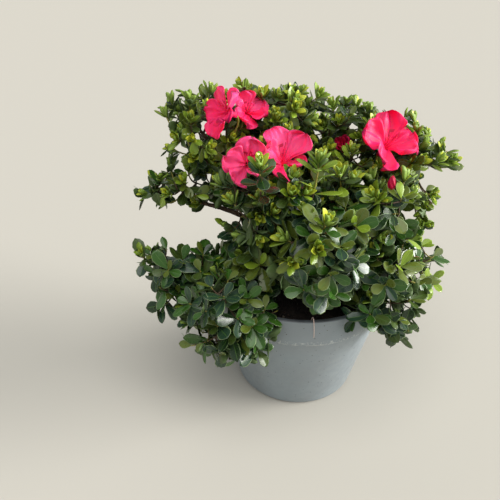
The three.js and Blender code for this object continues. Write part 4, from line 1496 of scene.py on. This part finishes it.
def stamens_of(width, seed):
    """The thin stamens of a bloom that faces up, with their anthers, and one longer style."""
    parts = []
    for k in range(STAMENS + 1):
        turn = GOLDEN_ANGLE * k + seed
        share, lean = STAMEN_LENGTH + STAMEN_PLAY * math.sin(2.1 * k + seed), STAMEN_OUT
        if k == STAMENS:
            share, lean = STYLE_LENGTH, STYLE_OUT
        length = width * share
        out = np.array((math.cos(turn), math.sin(turn), 0)) * length * lean
        tip = out + UP * length
        guides = [(0, 0, 0), UP * length * STAMEN_BEND, tip]
        parts.append(bent(stamen_rod, guides, taper(*STAMEN_RADII), one_kind(STAMEN_TONE)))
        bm = bmesh.new()
        bmesh.ops.create_icosphere(bm, subdivisions=1, radius=ANTHER_RADIUS)
        bmesh.ops.translate(bm, verts=bm.verts, vec=tip)
        points, faces, kinds = arrays_of(bm)
        parts.append((points, faces, kinds + ANTHER_TONE))
    return parts


# %% A bud
BUD_RADIUS, BUD_LENGTH = 3.9, 13
BUD_FOOT_WIDTH, BUD_NARROWING = 1.15, 0.45
BUD_FURROWS, BUD_FURROW_DEPTH, BUD_TWIST = 5, 0.22, 2.2
BUD_TONE = 3


def bud_shape():
    """A closed bud that stands up: a pointed egg with the edges of its rolled lobes as furrows."""
    bm = bmesh.new()
    bmesh.ops.create_uvsphere(bm, u_segments=30, v_segments=16, radius=1)
    for vert in bm.verts:
        share = (vert.co.z + 1) / 2
        turn = math.atan2(vert.co.y, vert.co.x) + BUD_TWIST * share
        furrow = 1 - BUD_FURROW_DEPTH * abs(math.sin(BUD_FURROWS / 2 * turn)) ** 4
        wide = BUD_RADIUS * furrow * (BUD_FOOT_WIDTH - BUD_NARROWING * share)
        vert.co = (vert.co.x * wide, vert.co.y * wide, BUD_LENGTH * share)
    points, faces, kinds = arrays_of(bm)
    return points, faces, kinds + BUD_TONE


# %% Blooms in their places
def placed_blossom(parts, bloom):
    """Turns the parts of a bloom from facing up to its own place and facing."""
    foot, facing = bloom_foot(bloom)
    right = unit(np.cross(UP, facing))
    axes = np.stack([right, np.cross(facing, right), facing])
    return [(points @ axes + foot, faces, kinds) for points, faces, kinds in parts]


blossom = []
for seed, bloom in enumerate(BLOOMS):
    parts = stamens_of(bloom.width, seed)
    lobes = len(bloom.lobes)
    for k, (lean, length, tone) in enumerate(bloom.lobes):
        freckled = k == FRECKLED_LOBE
        bm = petal_sheet(bloom.width, length, math.radians(lean), tone, freckled, seed * lobes + k)
        turn = Matrix.Rotation(math.radians(bloom.roll) + TURN * k / lobes, 3, "Z")
        bmesh.ops.rotate(bm, verts=bm.verts, cent=(0, 0, 0), matrix=turn)
        parts.append(arrays_of(bm))
    blossom += placed_blossom(parts, bloom)
points, faces, kinds = bud_shape()
blossom.append((points + np.array(BUD), faces, kinds))

# %% Petal finishes and blossom piece
PETAL_GLOW = {"Subsurface Weight": 0.4, "Subsurface Scale": 0.003, "Specular IOR Level": 0.3}
# Lit and shaded copies of one pink: the lightest is painted light, the deep one is painted shade in throats
# and on shaded lobes as well as the anthers' colour, and the darkest is the freckles and the bud as well as
# painted shade on a bloom deep among the leaves.
PETAL_COLOURS = {
    "petal_painted_lit": (255, 66, 128),
    "petal_rose": (255, 36, 104),
    "petal_deep_and_painted_shade": (238, 10, 88),
    "petal_freckle_and_painted_shade": (186, 4, 62),
}
petal_materials = [
    finish(name, colour, (0.46, 0.6), grain=0.9, depth=0.03, even=PETAL_GLOW)
    for name, colour in PETAL_COLOURS.items()
]
add_piece("blossom", joined_mesh("blossom", blossom), petal_materials)


# %% [markdown]
# ## The size rule and the end
# What was made must fill the same room as the solids. Both boxes are printed, so that they can be
# compared.

# %% Sizes and finish
made_box = [list(corner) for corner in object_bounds()]
print("dressed box in mm:", [[round(value / MM) for value in corner] for corner in made_box])
